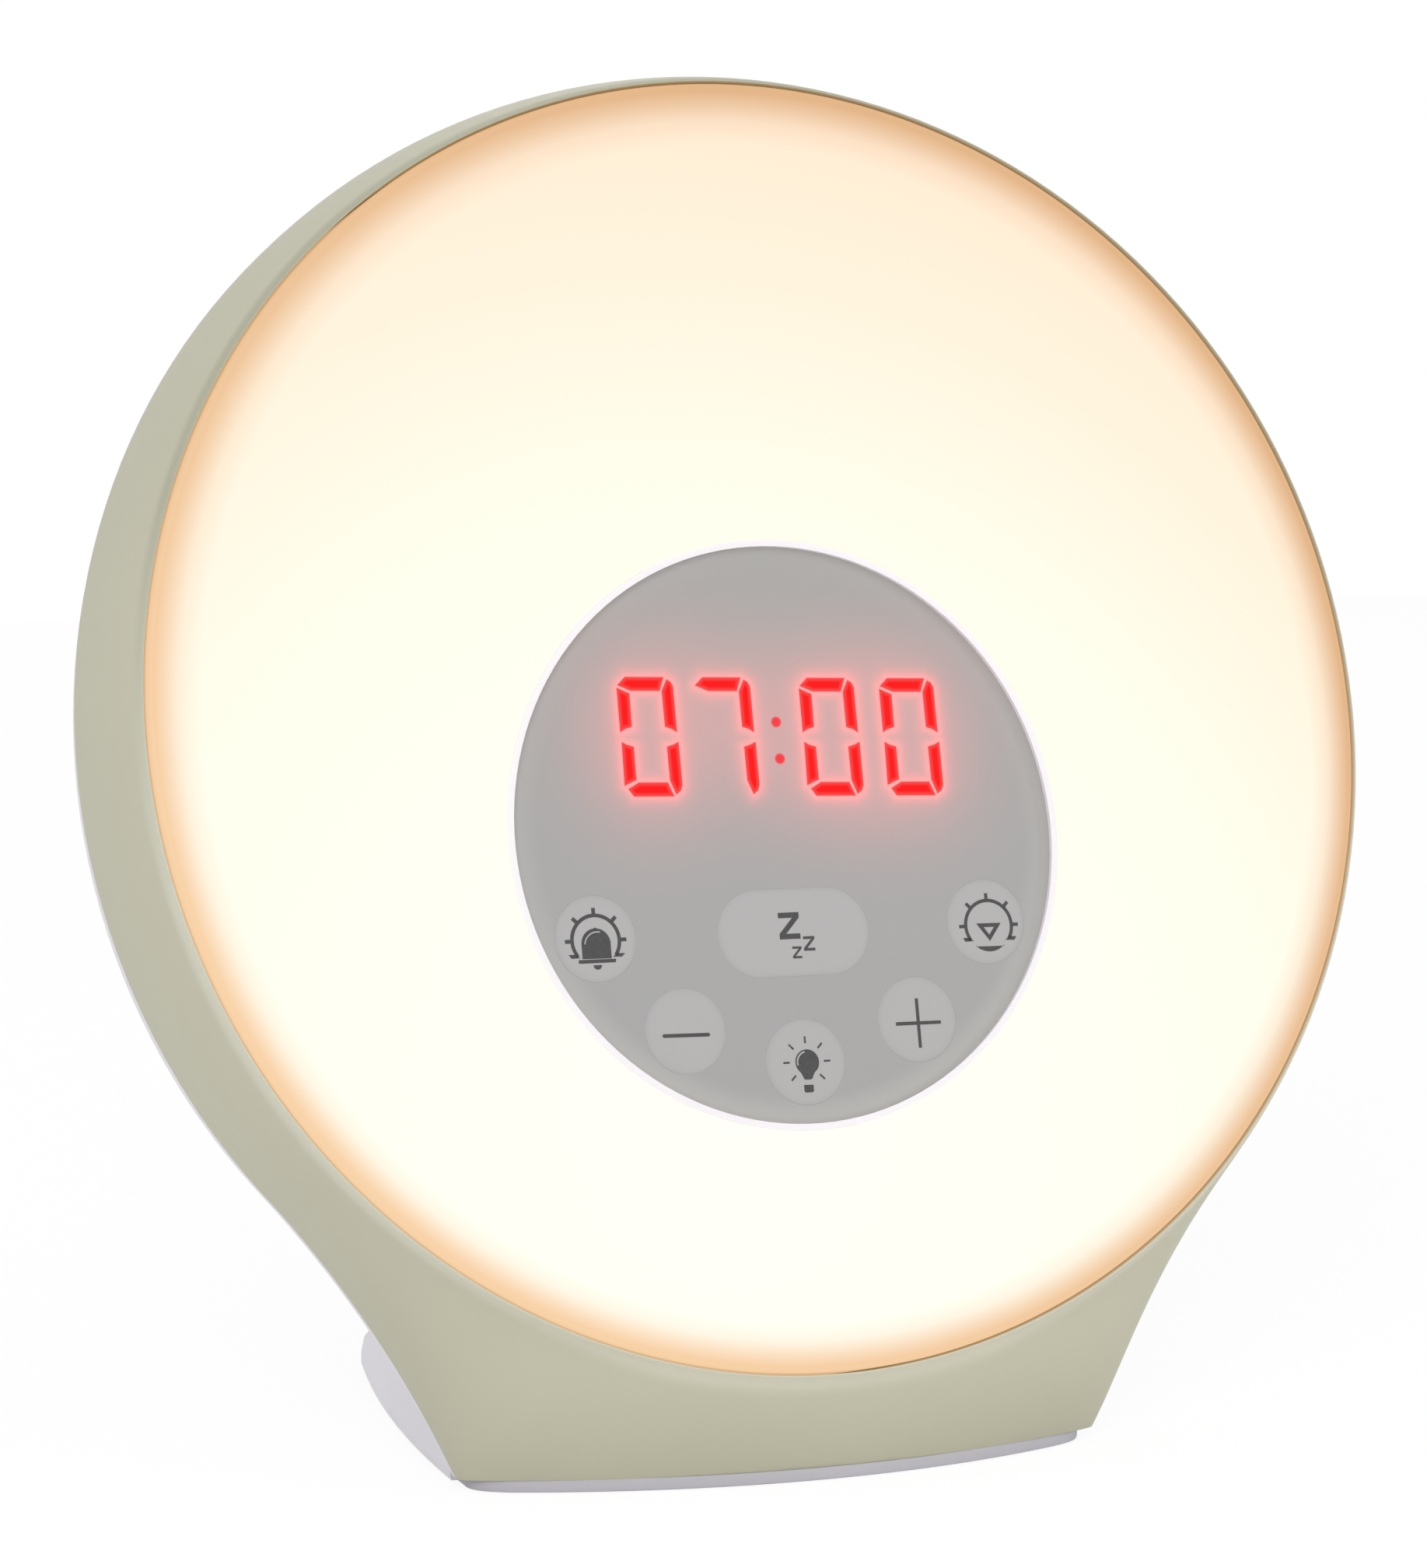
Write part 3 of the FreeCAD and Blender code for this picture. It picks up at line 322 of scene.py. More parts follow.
def makeOpal(plan):
    # opal acrylic lit from behind: even cream in the middle, amber where the lamps' dish ends at the rim
    tree = startFinish("litOpalAcrylic")
    x, depth, v = faceCoordinates(tree)
    spot = addNode(tree, "ShaderNodeMapRange", {"Value": farFrom(tree, x, v, plan["brightSpot"]),
                   "From Min": 0.0, "From Max": plan["reach"]})
    radius = farFrom(tree, x, v, (0.0, 0.0))
    height = addNode(tree, "ShaderNodeMath", {0: v, 1: radius}, operation="DIVIDE")
    side = addNode(tree, "ShaderNodeMath", {0: x, 1: radius}, operation="DIVIDE")
    band = addNode(tree, "ShaderNodeMapRange", {"Value": height, "From Min": -0.2, "From Max": 1.0,
                   "To Min": plan["bandLow"], "To Max": plan["bandTop"]})
    inward = addNode(tree, "ShaderNodeMath", {0: plan["radius"], 1: radius}, operation="SUBTRACT")
    share = addNode(tree, "ShaderNodeMath", {0: inward, 1: band}, operation="DIVIDE")
    lowness = addNode(tree, "ShaderNodeMath", {0: height, 1: side}, operation="ADD")
    lowness = addNode(tree, "ShaderNodeMapRange", {"Value": lowness, "From Min": -1.3, "From Max": 1.0,
                      "To Min": 1.0, "To Max": 0.0})
    ramps = []
    for value, stops in ((spot, [(stop, linear(colour)) for stop, colour in plan["middle"]]),
                         (share, [(stop, (grey, grey, grey, 1.0)) for stop, grey in plan["edge"]])):
        ramps.append(addNode(tree, "ShaderNodeValToRGB", {0: value}))
        elements = ramps[-1].color_ramp.elements
        while len(elements) < len(stops):
            elements.new(0.5)
        for element, (stop, colour) in zip(elements, stops):
            element.position = stop
            element.color = colour
    edge = addNode(tree, "ShaderNodeMix", {0: lowness, 6: plan["edgeTop"], 7: plan["edgeLow"]}, data_type="RGBA")
    colour = addNode(tree, "ShaderNodeMix", {0: ramps[1], 6: ramps[0], 7: edge.outputs[2]}, data_type="RGBA")
    # the lens's side wall is out of the lamps' light, so the joint round it reads as a thin dark line
    power = addNode(tree, "ShaderNodeMapRange", {
        "Value": depth, "From Min": plan["wallStart"], "From Max": plan["wallEnd"],
        "To Min": plan["strength"], "To Max": plan["strength"] * plan["strengthShare"]})
    surface(tree, {"Base Color": plan["base"], "Roughness": 0.5, "Specular IOR Level": 0.25,
                   "Emission Color": colour.outputs[2], "Emission Strength": power})


fasciaFinish = {"low": "#a4a3a3", "high": "#a5a3a1", "rim": "#b3b1ae", "rimLightStart": 4.0, "rimLightEnd": 0.6,
                "glowStrength": 0.5, "haze": 0.24}
softTouch = {"size": 0.3, "relief": 0.004, "strength": 0.2}


def makeFascia(plan):
    # matt grey film over the display: the red light soaks into it round the figures
    tree = startFinish("greyPanelFilm")
    x, depth, v = faceCoordinates(tree)
    height = addNode(tree, "ShaderNodeMapRange", {"Value": v, "From Min": -35.0, "From Max": 15.0})
    # painted light: the film is painted paler near its edge, most of all low down, where the lit lens shines on it
    rim = addNode(tree, "ShaderNodeMapRange", {
        "Value": farFrom(tree, x, v, (0.0, panelCentre)), "From Min": face["panelRadius"] - plan["rimLightStart"],
        "From Max": face["panelRadius"] - plan["rimLightEnd"]}, interpolation_type="SMOOTHSTEP")
    low = addNode(tree, "ShaderNodeMapRange", {"Value": v, "From Min": -45.0, "From Max": 10.0, "To Min": 1.0,
                  "To Max": 0.25})   # the lens lights the film's edge most low down
    rim = addNode(tree, "ShaderNodeMath", {0: rim, 1: low}, operation="MULTIPLY")
    grey = addNode(tree, "ShaderNodeMix", {0: height, 6: plan["low"], 7: plan["high"]}, data_type="RGBA").outputs[2]
    grey = addNode(tree, "ShaderNodeMix", {0: rim, 6: grey, 7: plan["rim"]}, data_type="RGBA").outputs[2]
    light = []
    for name, strength in (("glow", plan["glowStrength"]), ("haze", plan["haze"])):
        shape = addNode(tree, "ShaderNodeAttribute", attribute_name=name).outputs["Fac"]
        light.append(addNode(tree, "ShaderNodeMath", {0: shape, 1: strength}, operation="MULTIPLY"))
    lit = addNode(tree, "ShaderNodeMath", {0: light[0], 1: light[1]}, operation="ADD")
    place = addNode(tree, "ShaderNodeTexCoord").outputs["Object"]
    surface(tree, {"Roughness": 0.5, "Specular IOR Level": 0.3, "Emission Color": (1.0, 0.03, 0.03, 1.0),
                   "Base Color": grey, "Emission Strength": lit, "Normal": grain(tree, place, **softTouch)})


keyFinish = {"top": "#b0aeae", "rim": "#aaa8a8"}


def makeKeyFinish(plan):
    # soft-touch key tops, a shade paler than the film, darkening to it where they roll over the edge
    tree = startFinish("paleGreyKeySilicone")
    edge = addNode(tree, "ShaderNodeAttribute", attribute_name="edge").outputs["Fac"]
    place = addNode(tree, "ShaderNodeTexCoord").outputs["Object"]
    colour = addNode(tree, "ShaderNodeMix", {0: edge, 6: plan["top"], 7: plan["rim"]}, data_type="RGBA").outputs[2]
    surface(tree, {"Roughness": 0.55, "Specular IOR Level": 0.3, "Base Color": colour,
                   "Normal": grain(tree, place, **softTouch)})


def makeInk():
    # screen-printed ink on the keys: flat and slightly rougher than the key
    tree = startFinish("darkGreyInk")
    place = addNode(tree, "ShaderNodeTexCoord").outputs["Object"]
    surface(tree, {"Roughness": 0.6, "Specular IOR Level": 0.25,
                   "Base Color": mottledColour(tree, place, 0.5, "#474747", "#4e4e4e", 3.0)})


def makeLitSegment(name, core, edge):
    # red light through the film: full in the middle of a bar, softer at its edges
    tree = startFinish(name)
    depthIn = addNode(tree, "ShaderNodeAttribute", attribute_name="core").outputs["Fac"]
    red = addNode(tree, "ShaderNodeMix", {0: depthIn, 6: edge, 7: core}, data_type="RGBA").outputs[2]
    surface(tree, {"Base Color": "#200404", "Roughness": 0.5, "Specular IOR Level": 0.1, "Emission Strength": 1.0,
                   "Emission Color": red})


for name, values in plastics.items():
    makePlastic(name, *values)
for name, values in metals.items():
    makeMetal(name, *values)
makeSage(sageFinish)
makeCircuitBoard(board)
makeOpal(opalLight)
makeFascia(fasciaFinish)
makeKeyFinish(keyFinish)
makeInk()
makeLitSegment("litSegment", "#ff0c0c", "#f25252")
makeLitSegment("litColon", "#f53c44", "#ea7276")

# which carried-over piece gets which finish
nodeFinishes = {
    "sageSatinAbs": ("front_casing",),
    "whiteSatinAbs": ("battery_door", "mid_frame", "rear_casing", "speaker_grille"),
    "glowPaintedWhiteAbs": ("panel_housing",),
    "paleSiliconeWithPaintedShade": ("foot_pad",),
    "whiteStyrene": ("reflector",),
    "whiteSolderMask": ("light_board",),
    "blackNylon": ("led_display", "light_plunger", "main_board_parts", "minus_plunger", "plus_plunger",
                   "snooze_plunger", "sunrise_plunger", "sunset_plunger", "tact_switches"),
    "blackFoam": ("speaker_gasket",),
    "conePaper": ("speaker_cone",),
    "sinteredFerrite": ("speaker_magnet",),
    "greyVinyl": ("light_lead", "ribbon_cable", "speaker_lead"),
    "phosphorLens": ("light_leds",),
    "pressedSteel": ("coin_cell", "speaker_frame"),
    "zincSteel": ("board_screws", "case_screws", "housing_screws", "main_board_screws"),
    "nickelShell": ("power_inlet",),
    "springBrass": ("battery_contacts",),
    "greenSolderMask": ("control_board", "inlet_board", "main_board"),
    "litOpalAcrylic": ("diffuser",),
    "greyPanelFilm": ("control_fascia",),
    "paleGreyKeySilicone": ("light_key", "minus_key", "plus_key", "snooze_key", "sunrise_key", "sunset_key"),
    "litSegment": ("display_segments",),
}
for finish, nodeNames in nodeFinishes.items():
    for nodeName in nodeNames:
        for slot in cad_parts[nodeName].material_slots:
            slot.material = finishes[finish]
print("finishes made:", len(finishes))

# ---- shared mesh helpers


def newObject(name, mesh, finish, body="clock", replaced=()):
    piece = addObject(name, mesh)
    mesh.materials.clear()
    mesh.materials.append(finishes[finish])
    for polygon in mesh.polygons:
        polygon.material_index = 0
    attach(piece, body)
    if replaced:
        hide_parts(*replaced)
    return piece


def joinRows(rows, closeEnds=False, ring=False):
    # quads between successive closed loops of points; a cap on each end or the last loop joined to the first
    mesh = bmesh.new()
    loops = [[mesh.verts.new(point) for point in row] for row in rows]
    for first, second in zip(loops, loops[1:] + loops[:1] if ring else loops[1:]):
        count = len(first)
        for i in range(count):
            j = (i + 1) % count
            mesh.faces.new((first[i], first[j], second[j], second[i]))
    if closeEnds:
        mesh.faces.new(list(reversed(loops[0])))
        mesh.faces.new(loops[-1])
    bmesh.ops.recalc_face_normals(mesh, faces=mesh.faces)
    return mesh


def finishMesh(work, name, smoothAngle=35.0):
    for item in work.faces:
        item.smooth = True
    limit = math.radians(smoothAngle)
    for edge in work.edges:
        edge.smooth = len(edge.link_faces) == 2 and edge.calc_face_angle(0.0) < limit
    mesh = bpy.data.meshes.new(name)
    work.to_mesh(mesh)
    work.free()
    return mesh


def evaluatedMesh(holder):
    graph = bpy.context.evaluated_depsgraph_get()
    return bpy.data.meshes.new_from_object(holder.evaluated_get(graph), depsgraph=graph)


def combine(first, second, operation):
    # exact Boolean of two bmeshes; the result is a new bmesh
    holders = []
    for work in (first, second):
        mesh = bpy.data.meshes.new("combinePart")
        work.to_mesh(mesh)
        work.free()
        holders.append(addObject("combinePart", mesh))
    modifier = holders[0].modifiers.new("combine", "BOOLEAN")
    modifier.operation = operation
    modifier.solver = "EXACT"
    modifier.object = holders[1]
    result = evaluatedMesh(holders[0])
    for holder in holders:
        bpy.data.objects.remove(holder)
    work = bmesh.new()
    work.from_mesh(result)
    return work


def circle(radius, count, x=0.0, v=0.0):
    return [(x + radius * math.cos(2 * math.pi * i / count), v + radius * math.sin(2 * math.pi * i / count))
            for i in range(count)]


# ---- front casing: the round crown flows down into the flared foot
casing = {"crownRadius": 85.45, "crownDepth": 14.5, "frontBend": 36.0, "rearBend": 85.0, "parting": 20.0,
          "flankBend": 132.8, "flankAngle": 40.0, "footGrowth": 16.5, "footBlend": 4.0, "seamBlend": 0.1,
          "rimDepth": 0.27, "bore": 82.22, "ledge": 79.0, "ledgeDepth": 8.0, "ledgeBack": 10.0, "wall": 2.2,
          "floor": 1.6, "footRound": 0.35, "rows": 36, "innerRows": 6}


def crown(depth):
    bend = casing["frontBend"] if depth < casing["crownDepth"] else casing["rearBend"]
    return casing["crownRadius"] - bend + math.sqrt(bend ** 2 - (depth - casing["crownDepth"]) ** 2)


def flank(below):
    # how far the foot's hollow side stands out of the round, at an angle below the horizontal
    turn = math.radians(below - casing["flankAngle"])
    if turn <= 0:
        return 0.0
    roundRadius = crown(casing["parting"])
    reach = roundRadius + casing["flankBend"]
    inside = casing["flankBend"] ** 2 - (reach * math.sin(turn)) ** 2
    if inside <= 0:
        return 3 * casing["footGrowth"]
    return min(reach * math.cos(turn) - math.sqrt(inside) - roundRadius, 3 * casing["footGrowth"])


def footRise(below, sideShare, baseShare, blend):
    # the smaller of side and base, with a soft change from one to the other
    side = flank(below) * sideShare
    base = casing["footGrowth"] * baseShare
    if side <= 0 or base <= 0:
        return 0.0
    join = -blend * math.log(math.exp(-side / blend) + math.exp(-base / blend))
    return max(join + blend * math.log(1 + math.exp(-base / blend)) * math.exp(-side / blend), 0.0)


def outlineAngles():
    # degrees below the horizontal, closest where the flank meets the base
    half = [-90 + 2.0 * i for i in range(60)] + [30 + 0.5 * i for i in range(48)] + \
           [54 + 0.25 * i for i in range(80)] + [74 + 1.0 * i for i in range(16)]
    return half + [180 - below for below in reversed(half) if -90 < below < 90]


sectionAngles = outlineAngles()


def casingRow(depth, radius, sideShare, baseShare, blend):
    row = []
    for angle in sectionAngles:
        below = angle if angle <= 90 else 180 - angle
        reach = radius + footRise(below, sideShare, baseShare, blend)
        row.append(onFace(reach * math.cos(math.radians(angle)), depth, -reach * math.sin(math.radians(angle))))
    return row


def frontRow(depth, inset=0.0):
    share = depth / casing["parting"]
    blend = casing["footBlend"] * (1 + casing["seamBlend"] - share)
    return casingRow(depth, crown(depth) - 0.01 - inset, 1 - (1 - share) ** 2, share, blend)


def roundRow(radius, depth):
    return casingRow(depth, radius, 0.0, 0.0, 1.0)


def cutOff(work, point, normal):
    # cuts away what lies beyond a plane and closes the cut; its edges are given back
    cut = bmesh.ops.bisect_plane(work, geom=work.verts[:] + work.edges[:] + work.faces[:], dist=1e-7, plane_co=point,
                                 plane_no=normal, clear_outer=True)
    edges = [item for item in cut["geom_cut"] if isinstance(item, bmesh.types.BMEdge)]
    bmesh.ops.triangle_fill(work, edges=edges, use_beauty=True)
    bmesh.ops.recalc_face_normals(work, faces=work.faces)
    return edges


def makeFrontCasing(plan):
    bore, rim, parting, wall = plan["bore"], plan["rimDepth"], plan["parting"], plan["wall"]
    lip = crown(rim) - 0.02
    rows = [roundRow(*place) for place in (
        (bore, plan["ledgeDepth"]), (bore, 0.6), (bore + 0.02, rim + 0.12), (bore + 0.08, rim), (lip - 0.1, rim),
        (lip, rim + 0.08))]
    rows += [frontRow(rim + (parting - 0.3 - rim) * (step + 1) / plan["rows"]) for step in range(plan["rows"])]
    rows += [frontRow(parting - 0.12, 0.03), frontRow(parting - 0.02, 0.12), frontRow(parting, 0.3),
             frontRow(parting, wall)]
    rows += [frontRow(parting + (plan["ledgeBack"] - parting) * (step + 1) / plan["innerRows"], wall)
             for step in range(plan["innerRows"])]
    rows += [roundRow(plan["ledge"], plan["ledgeBack"]), roundRow(plan["ledge"], plan["ledgeDepth"])]
    work = joinRows(rows, ring=True)
    edges = cutOff(work, (0.0, 0.0, plan["floor"] * mm), (0.0, 0.0, -1.0))
    outer = [edge for edge in edges if edge.is_valid and edge.calc_face_angle(0) > 0.5]
    bmesh.ops.bevel(work, geom=outer, offset=plan["footRound"] * mm, segments=3, profile=0.5, affect="EDGES",
                    clamp_overlap=True)
    newObject("frontCasing", finishMesh(work, "frontCasing"), "sageSatinAbs", replaced=("front_casing",))


makeFrontCasing(casing)
print("front casing made")

# ---- foot: the outline that the heel and the pad share, in mm on the ground
foot = {"halfWidth": 44.2, "tongueHalf": 29.5, "tongueBack": 72.0, "corner": 18.0, "belly": 2.7, "lean": 19.0,
        "front": -20.0, "cornerBack": -4.8, "nose": -14.0, "groundShift": -32.011}


def onGround(x, y, height):
    return Vector((x, y + foot["groundShift"], height)) * mm


def arcThrough(first, middle, last, count):
    # points on the circle through three given ones, without the last
    (ax, ay), (bx, by), (cx, cy) = first, middle, last
    twice = 2 * (ax * (by - cy) + bx * (cy - ay) + cx * (ay - by))
    x = ((ax ** 2 + ay ** 2) * (by - cy) + (bx ** 2 + by ** 2) * (cy - ay) + (cx ** 2 + cy ** 2) * (ay - by)) / twice
    y = ((ax ** 2 + ay ** 2) * (cx - bx) + (bx ** 2 + by ** 2) * (ax - cx) + (cx ** 2 + cy ** 2) * (bx - ax)) / twice
    start, via, end = (math.atan2(py - y, px - x) for px, py in (first, middle, last))
    hand = 1 if (via - start) % (2 * math.pi) < (end - start) % (2 * math.pi) else -1
    sweep = ((end - start) * hand) % (2 * math.pi) * hand
    radius = math.hypot(ax - x, ay - y)
    return [(x + radius * math.cos(start + sweep * i / count), y + radius * math.sin(start + sweep * i / count))
            for i in range(count)]


def footRow(height, inset, retreat, front, nose=None):
    # right flank, right corner, rear edge, then mirrored, then the front edge, straight or bowed out to a nose
    corner = foot["corner"] - 0.6 * inset
    base = foot["halfWidth"] - inset
    end = (foot["tongueHalf"] - inset, foot["tongueBack"] - retreat)
    lean = math.radians(foot["lean"])
    centre = (end[0] - corner * math.cos(lean), end[1] - corner * math.sin(lean))
    belly = ((base + end[0]) / 2 + foot["belly"], (foot["front"] + end[1]) / 2)
    flankLine = [point for point in arcThrough((base, foot["front"]), belly, end, 900) if point[1] >= front]
    right = [flankLine[int(i * (len(flankLine) - 1) / 28)] for i in range(28)]
    base = right[0][0]
    right += [(centre[0] + corner * math.cos(lean + (math.pi / 2 - lean) * i / 14),
               centre[1] + corner * math.sin(lean + (math.pi / 2 - lean) * i / 14)) for i in range(14)]
    right += [(centre[0] * (1 - i / 6), centre[1] + corner) for i in range(6)]
    row = right + [(0.0, centre[1] + corner)] + [(-x, y) for x, y in reversed(right)]
    if nose is None:
        row += [(base * (2 * i / 16 - 1), front) for i in range(1, 16)]
    else:
        bowed = arcThrough((-base, front), (0.0, nose), (base, front), 32)
        tip, ahead = Vector((base, front)), Vector(row[1])
        soft = [Vector(bowed[-2]) * (1 - i / 8) ** 2 + tip * 2 * (1 - i / 8) * (i / 8) + ahead * (i / 8) ** 2
                for i in range(8)]   # rounds the corner between flank and nose
        row = row[1:-1] + [(-p.x, p.y) for p in reversed(soft)] + bowed[3:-2] + [(p.x, p.y) for p in soft]
    return [onGround(x, y, height) for x, y in row]


pad = {"rows": ((0.0, 0.35), (0.12, 0.1), (0.4, 0.0), (1.6, 0.0)), "flankInset": 1.1}   # rows: height, inset


def makeFootPad(plan):
    rows = []
    for height, inset in plan["rows"]:
        side = plan["flankInset"] + inset
        rows.append(footRow(height, side, side, foot["cornerBack"] + inset, foot["nose"] + inset))
    newObject("footPad", finishMesh(joinRows(rows, closeEnds=True), "footPad"), "paleSiliconeWithPaintedShade",
              replaced=("foot_pad",))


# ---- rear casing: a slim round back that flows down into the heel; its profile is (depth, radius),
# the heel's rows are height, inset and retreat, and each cut is given with its first and last depth
rearCasing = {"steps": 30, "profile": ((20.0, 85.2), (29.0, 83.2), (58.0, 75.0), (58.0, 50.0)), "fade": 1.5,
              "wall": 2.2, "floor": 0.3, "pocketInset": 1.0, "skirtClear": (60.0, 1.5), "seam": 0.02,
              "heel": ((0.0, 0.6, 0.6), (0.3, 0.2, 0.2), (0.9, 0.0, 0.0), (2.4, 0.0, 0.0), (4.2, 0.25, 0.3),
                       (5.2, 0.9, 1.0), (6.2, 2.4, 2.8), (7.4, 4.8, 5.8), (9.0, 7.2, 10.2), (13.0, 11.0, 19.5),
                       (20.0, 14.5, 31.0), (31.0, 17.5, 43.0)),
              "screwCircle": 77.0, "post": (4.6, 22.0, 60.0), "counterbore": (3.3, 30.0, 62.0),
              "windowV": 16.0, "window": (16.3, 50.0, 60.0), "seat": (17.2, 54.0, 57.5),
              "doorPlace": (16.0, -24.0), "door": (30.4, 26.4, 2.0, 54.0, 60.0), "room": (30.0, 27.8, 1.2, 52.1, 55.8),
              "tray": (33.2, 29.2, 2.0, 47.8, 60.0), "nest": (10.2, 49.3, 57.0),
              "inletPlace": (-24.0, -27.0), "inlet": (9.4, 3.7, 1.84, 50.0, 60.0)}


def rearProfile(share, inset):
    # point of the Bezier profile, moved inwards
    a, b, c, d = (Vector(point) for point in rearCasing["profile"])
    rest = 1 - share
    point = a * rest ** 3 + b * 3 * rest ** 2 * share + c * 3 * rest * share ** 2 + d * share ** 3
    along = (b - a) * rest ** 2 + (c - b) * 2 * rest * share + (d - c) * share ** 2
    return point + Vector((along.y, -along.x)).normalized() * inset


def rearRows(inset):
    parting, back = rearCasing["profile"][0][0], rearCasing["profile"][-1][0]
    rows = []
    for step in range(rearCasing["steps"] + 1):
        depth, radius = rearProfile(step / rearCasing["steps"], inset)
        share = 1.0 - min(max((depth - parting) / (back - parting), 0.0), 1.0) ** rearCasing["fade"]
        blend = casing["footBlend"] * (1 + casing["seamBlend"] - min(share, 1.0))
        rows.append(casingRow(depth, radius, share, share, blend))
    if inset:   # the cavity starts ahead of the parting, so that it opens it
        rows[0] = casingRow(parting - 1.0, rearProfile(0.0, inset)[1], 1.0, 1.0,
                            casing["footBlend"] * casing["seamBlend"])
    return rows


def prism(outline, start, end):
    return joinRows([[onFace(x, depth, v) for x, v in outline] for depth in (start, end)], closeEnds=True)


def slabOutline(x, v, width, height, corner, count=12):
    points = []
    for signX, signV, start in ((1, 1, 0), (-1, 1, 90), (-1, -1, 180), (1, -1, 270)):
        for i in range(count + 1):
            turn = math.radians(start + 90 * i / count)
            points.append((x + signX * (width / 2 - corner) + corner * math.cos(turn),
                           v + signV * (height / 2 - corner) + corner * math.sin(turn)))
    return points


def makeRearCasing(plan):
    def roundCut(name, x, v, count=72):
        radius, start, end = plan[name]
        return prism(circle(radius, count, x, v), start, end)

    def slabCut(name, place):
        *size, start, end = plan[name]
        return prism(slabOutline(*place, *size), start, end)

    heel = joinRows([footRow(z, inset, retreat, foot["front"]) for z, inset, retreat in plan["heel"]], closeEnds=True)
    cutOff(heel, onFace(0.0, casing["parting"] + plan["seam"], 0.0), -faceBack)
    solid = combine(joinRows(rearRows(0.0), closeEnds=True), heel, "UNION")
    screws = [(plan["screwCircle"] * math.cos(math.radians(turn)), plan["screwCircle"] * math.sin(math.radians(turn)))
              for turn in (45, 135, 225, 315)]
    cavity = joinRows(rearRows(plan["wall"]), closeEnds=True)
    for post in [roundCut("post", *spot, 40) for spot in screws] + [slabCut("tray", plan["doorPlace"])]:
        cavity = combine(cavity, post, "DIFFERENCE")
    inset, floor, (reach, back) = plan["pocketInset"], casing["floor"], plan["skirtClear"]
    pocket = joinRows([footRow(z, inset, inset, foot["cornerBack"] - 2.0, foot["nose"] - 2.0)
                       for z in (-9.0, floor)], closeEnds=True)
    skirt = joinRows([[onGround(x, y, z) for x, y in ((-reach, -80.0), (reach, -80.0), (reach, back), (-reach, back))]
                      for z in (-9.0, floor)], closeEnds=True)
    cuts = [cavity, pocket, skirt, roundCut("window", 0.0, plan["windowV"]), roundCut("seat", 0.0, plan["windowV"]),
            slabCut("door", plan["doorPlace"]), slabCut("room", plan["doorPlace"]),
            roundCut("nest", *plan["doorPlace"]), slabCut("inlet", plan["inletPlace"])]
    for cut in cuts + [roundCut("counterbore", *spot, 48) for spot in screws]:
        solid = combine(solid, cut, "DIFFERENCE")
    cutOff(solid, (0.0, 0.0, plan["floor"] * mm), (0.0, 0.0, -1.0))
    newObject("rearCasing", finishMesh(solid, "rearCasing", 28.0), "whiteSatinAbs", replaced=("rear_casing",))


makeFootPad(pad)
makeRearCasing(rearCasing)
print("rear casing and foot pad made")

# ---- diffuser: a shallow opal cap over the whole face, open where the panel sits
opalCap = {"radius": 81.99, "shoulder": 0.9, "crown": 0.5, "rise": 0.45, "depth": 8.0, "skin": 2.0, "bore": 37.34,
           "boreDepth": 5.0, "boreWall": 0.04, "columns": 240, "faceRows": 28, "shoulderRows": 12}


def makeDiffuser(plan):
    flatRadius, skin, boreWall = plan["radius"] - plan["shoulder"], plan["skin"], plan["boreWall"]

    def ringRow(radius, depth, share=1.0):
        # a ring between the panel's bore (share 0) and a circle about the face's middle (share 1)
        row = []
        for inner, outer in zip(circle(plan["bore"], plan["columns"], 0.0, panelCentre),
                                circle(radius, plan["columns"])):
            x = inner[0] + (outer[0] - inner[0]) * share
            v = inner[1] + (outer[1] - inner[1]) * share
            crowned = -plan["crown"] + plan["rise"] * (math.hypot(x, v) / flatRadius) ** 2
            row.append(onFace(x, crowned if depth is None else depth, v))
        return row

    rows = [ringRow(flatRadius, plan["boreDepth"], 0.0), ringRow(flatRadius, 0.3, 0.0), ringRow(flatRadius, 0.0, 0.001)]
    rows += [ringRow(flatRadius, None, row / plan["faceRows"]) for row in [0.15] + list(range(1, plan["faceRows"] + 1))]
    for step in range(1, plan["shoulderRows"] + 1):
        share = step / plan["shoulderRows"]
        turn = math.radians(90 * share)
        rows.append(ringRow(flatRadius + plan["shoulder"] * math.sin(turn),
                            plan["shoulder"] * (1 - math.cos(turn)) - (plan["crown"] - plan["rise"]) * (1 - share)))
    inner = plan["radius"] - skin
    rows += [ringRow(plan["radius"], plan["depth"]), ringRow(inner, plan["depth"]), ringRow(inner, skin + 1.0),
             ringRow(inner - 1.0, skin), ringRow(inner - 1.0, skin, boreWall),
             ringRow(inner - 1.0, plan["boreDepth"], boreWall)]
    newObject("opalDiffuser", finishMesh(joinRows(rows, ring=True), "opalDiffuser"), "litOpalAcrylic",
              replaced=("diffuser",))


makeDiffuser(opalCap)
print("diffuser made")

# ---- lit figures: bars as drawn on the face, in mm about the middle of one figure
figureBars = {
    "top": [(-3.69, 6.5), (-2.58, 7.56), (2.62, 7.56), (1.95, 5.79), (-1.94, 5.79)],
    "upperLeft": [(-3.81, 6.2), (-2.13, 5.47), (-2.2, 1.26), (-3.1, 0.98), (-3.83, 0.56)],
    "upperRight": [(2.98, 7.29), (3.5, 7.0), (3.8, 6.4), (3.8, 0.56), (3.1, 0.98), (2.22, 1.26), (2.21, 5.82)],
    "lowerLeft": [(-3.76, -0.62), (-3.1, -0.98), (-2.18, -1.24), (-2.21, -5.44), (-3.88, -6.18)],
    "lowerRight": [(3.88, -0.62), (3.1, -0.98), (2.24, -1.24), (2.26, -5.5), (2.95, -7.3), (3.6, -6.8), (3.88, -6.1)],
    "bottom": [(-3.42, -6.56), (-2.75, -7.52), (2.68, -7.52), (1.95, -5.74), (-1.95, -5.74)],
}
figures = {"0": ("top", "upperLeft", "upperRight", "lowerLeft", "lowerRight", "bottom"),
           "7": ("top", "upperRight", "lowerRight")}
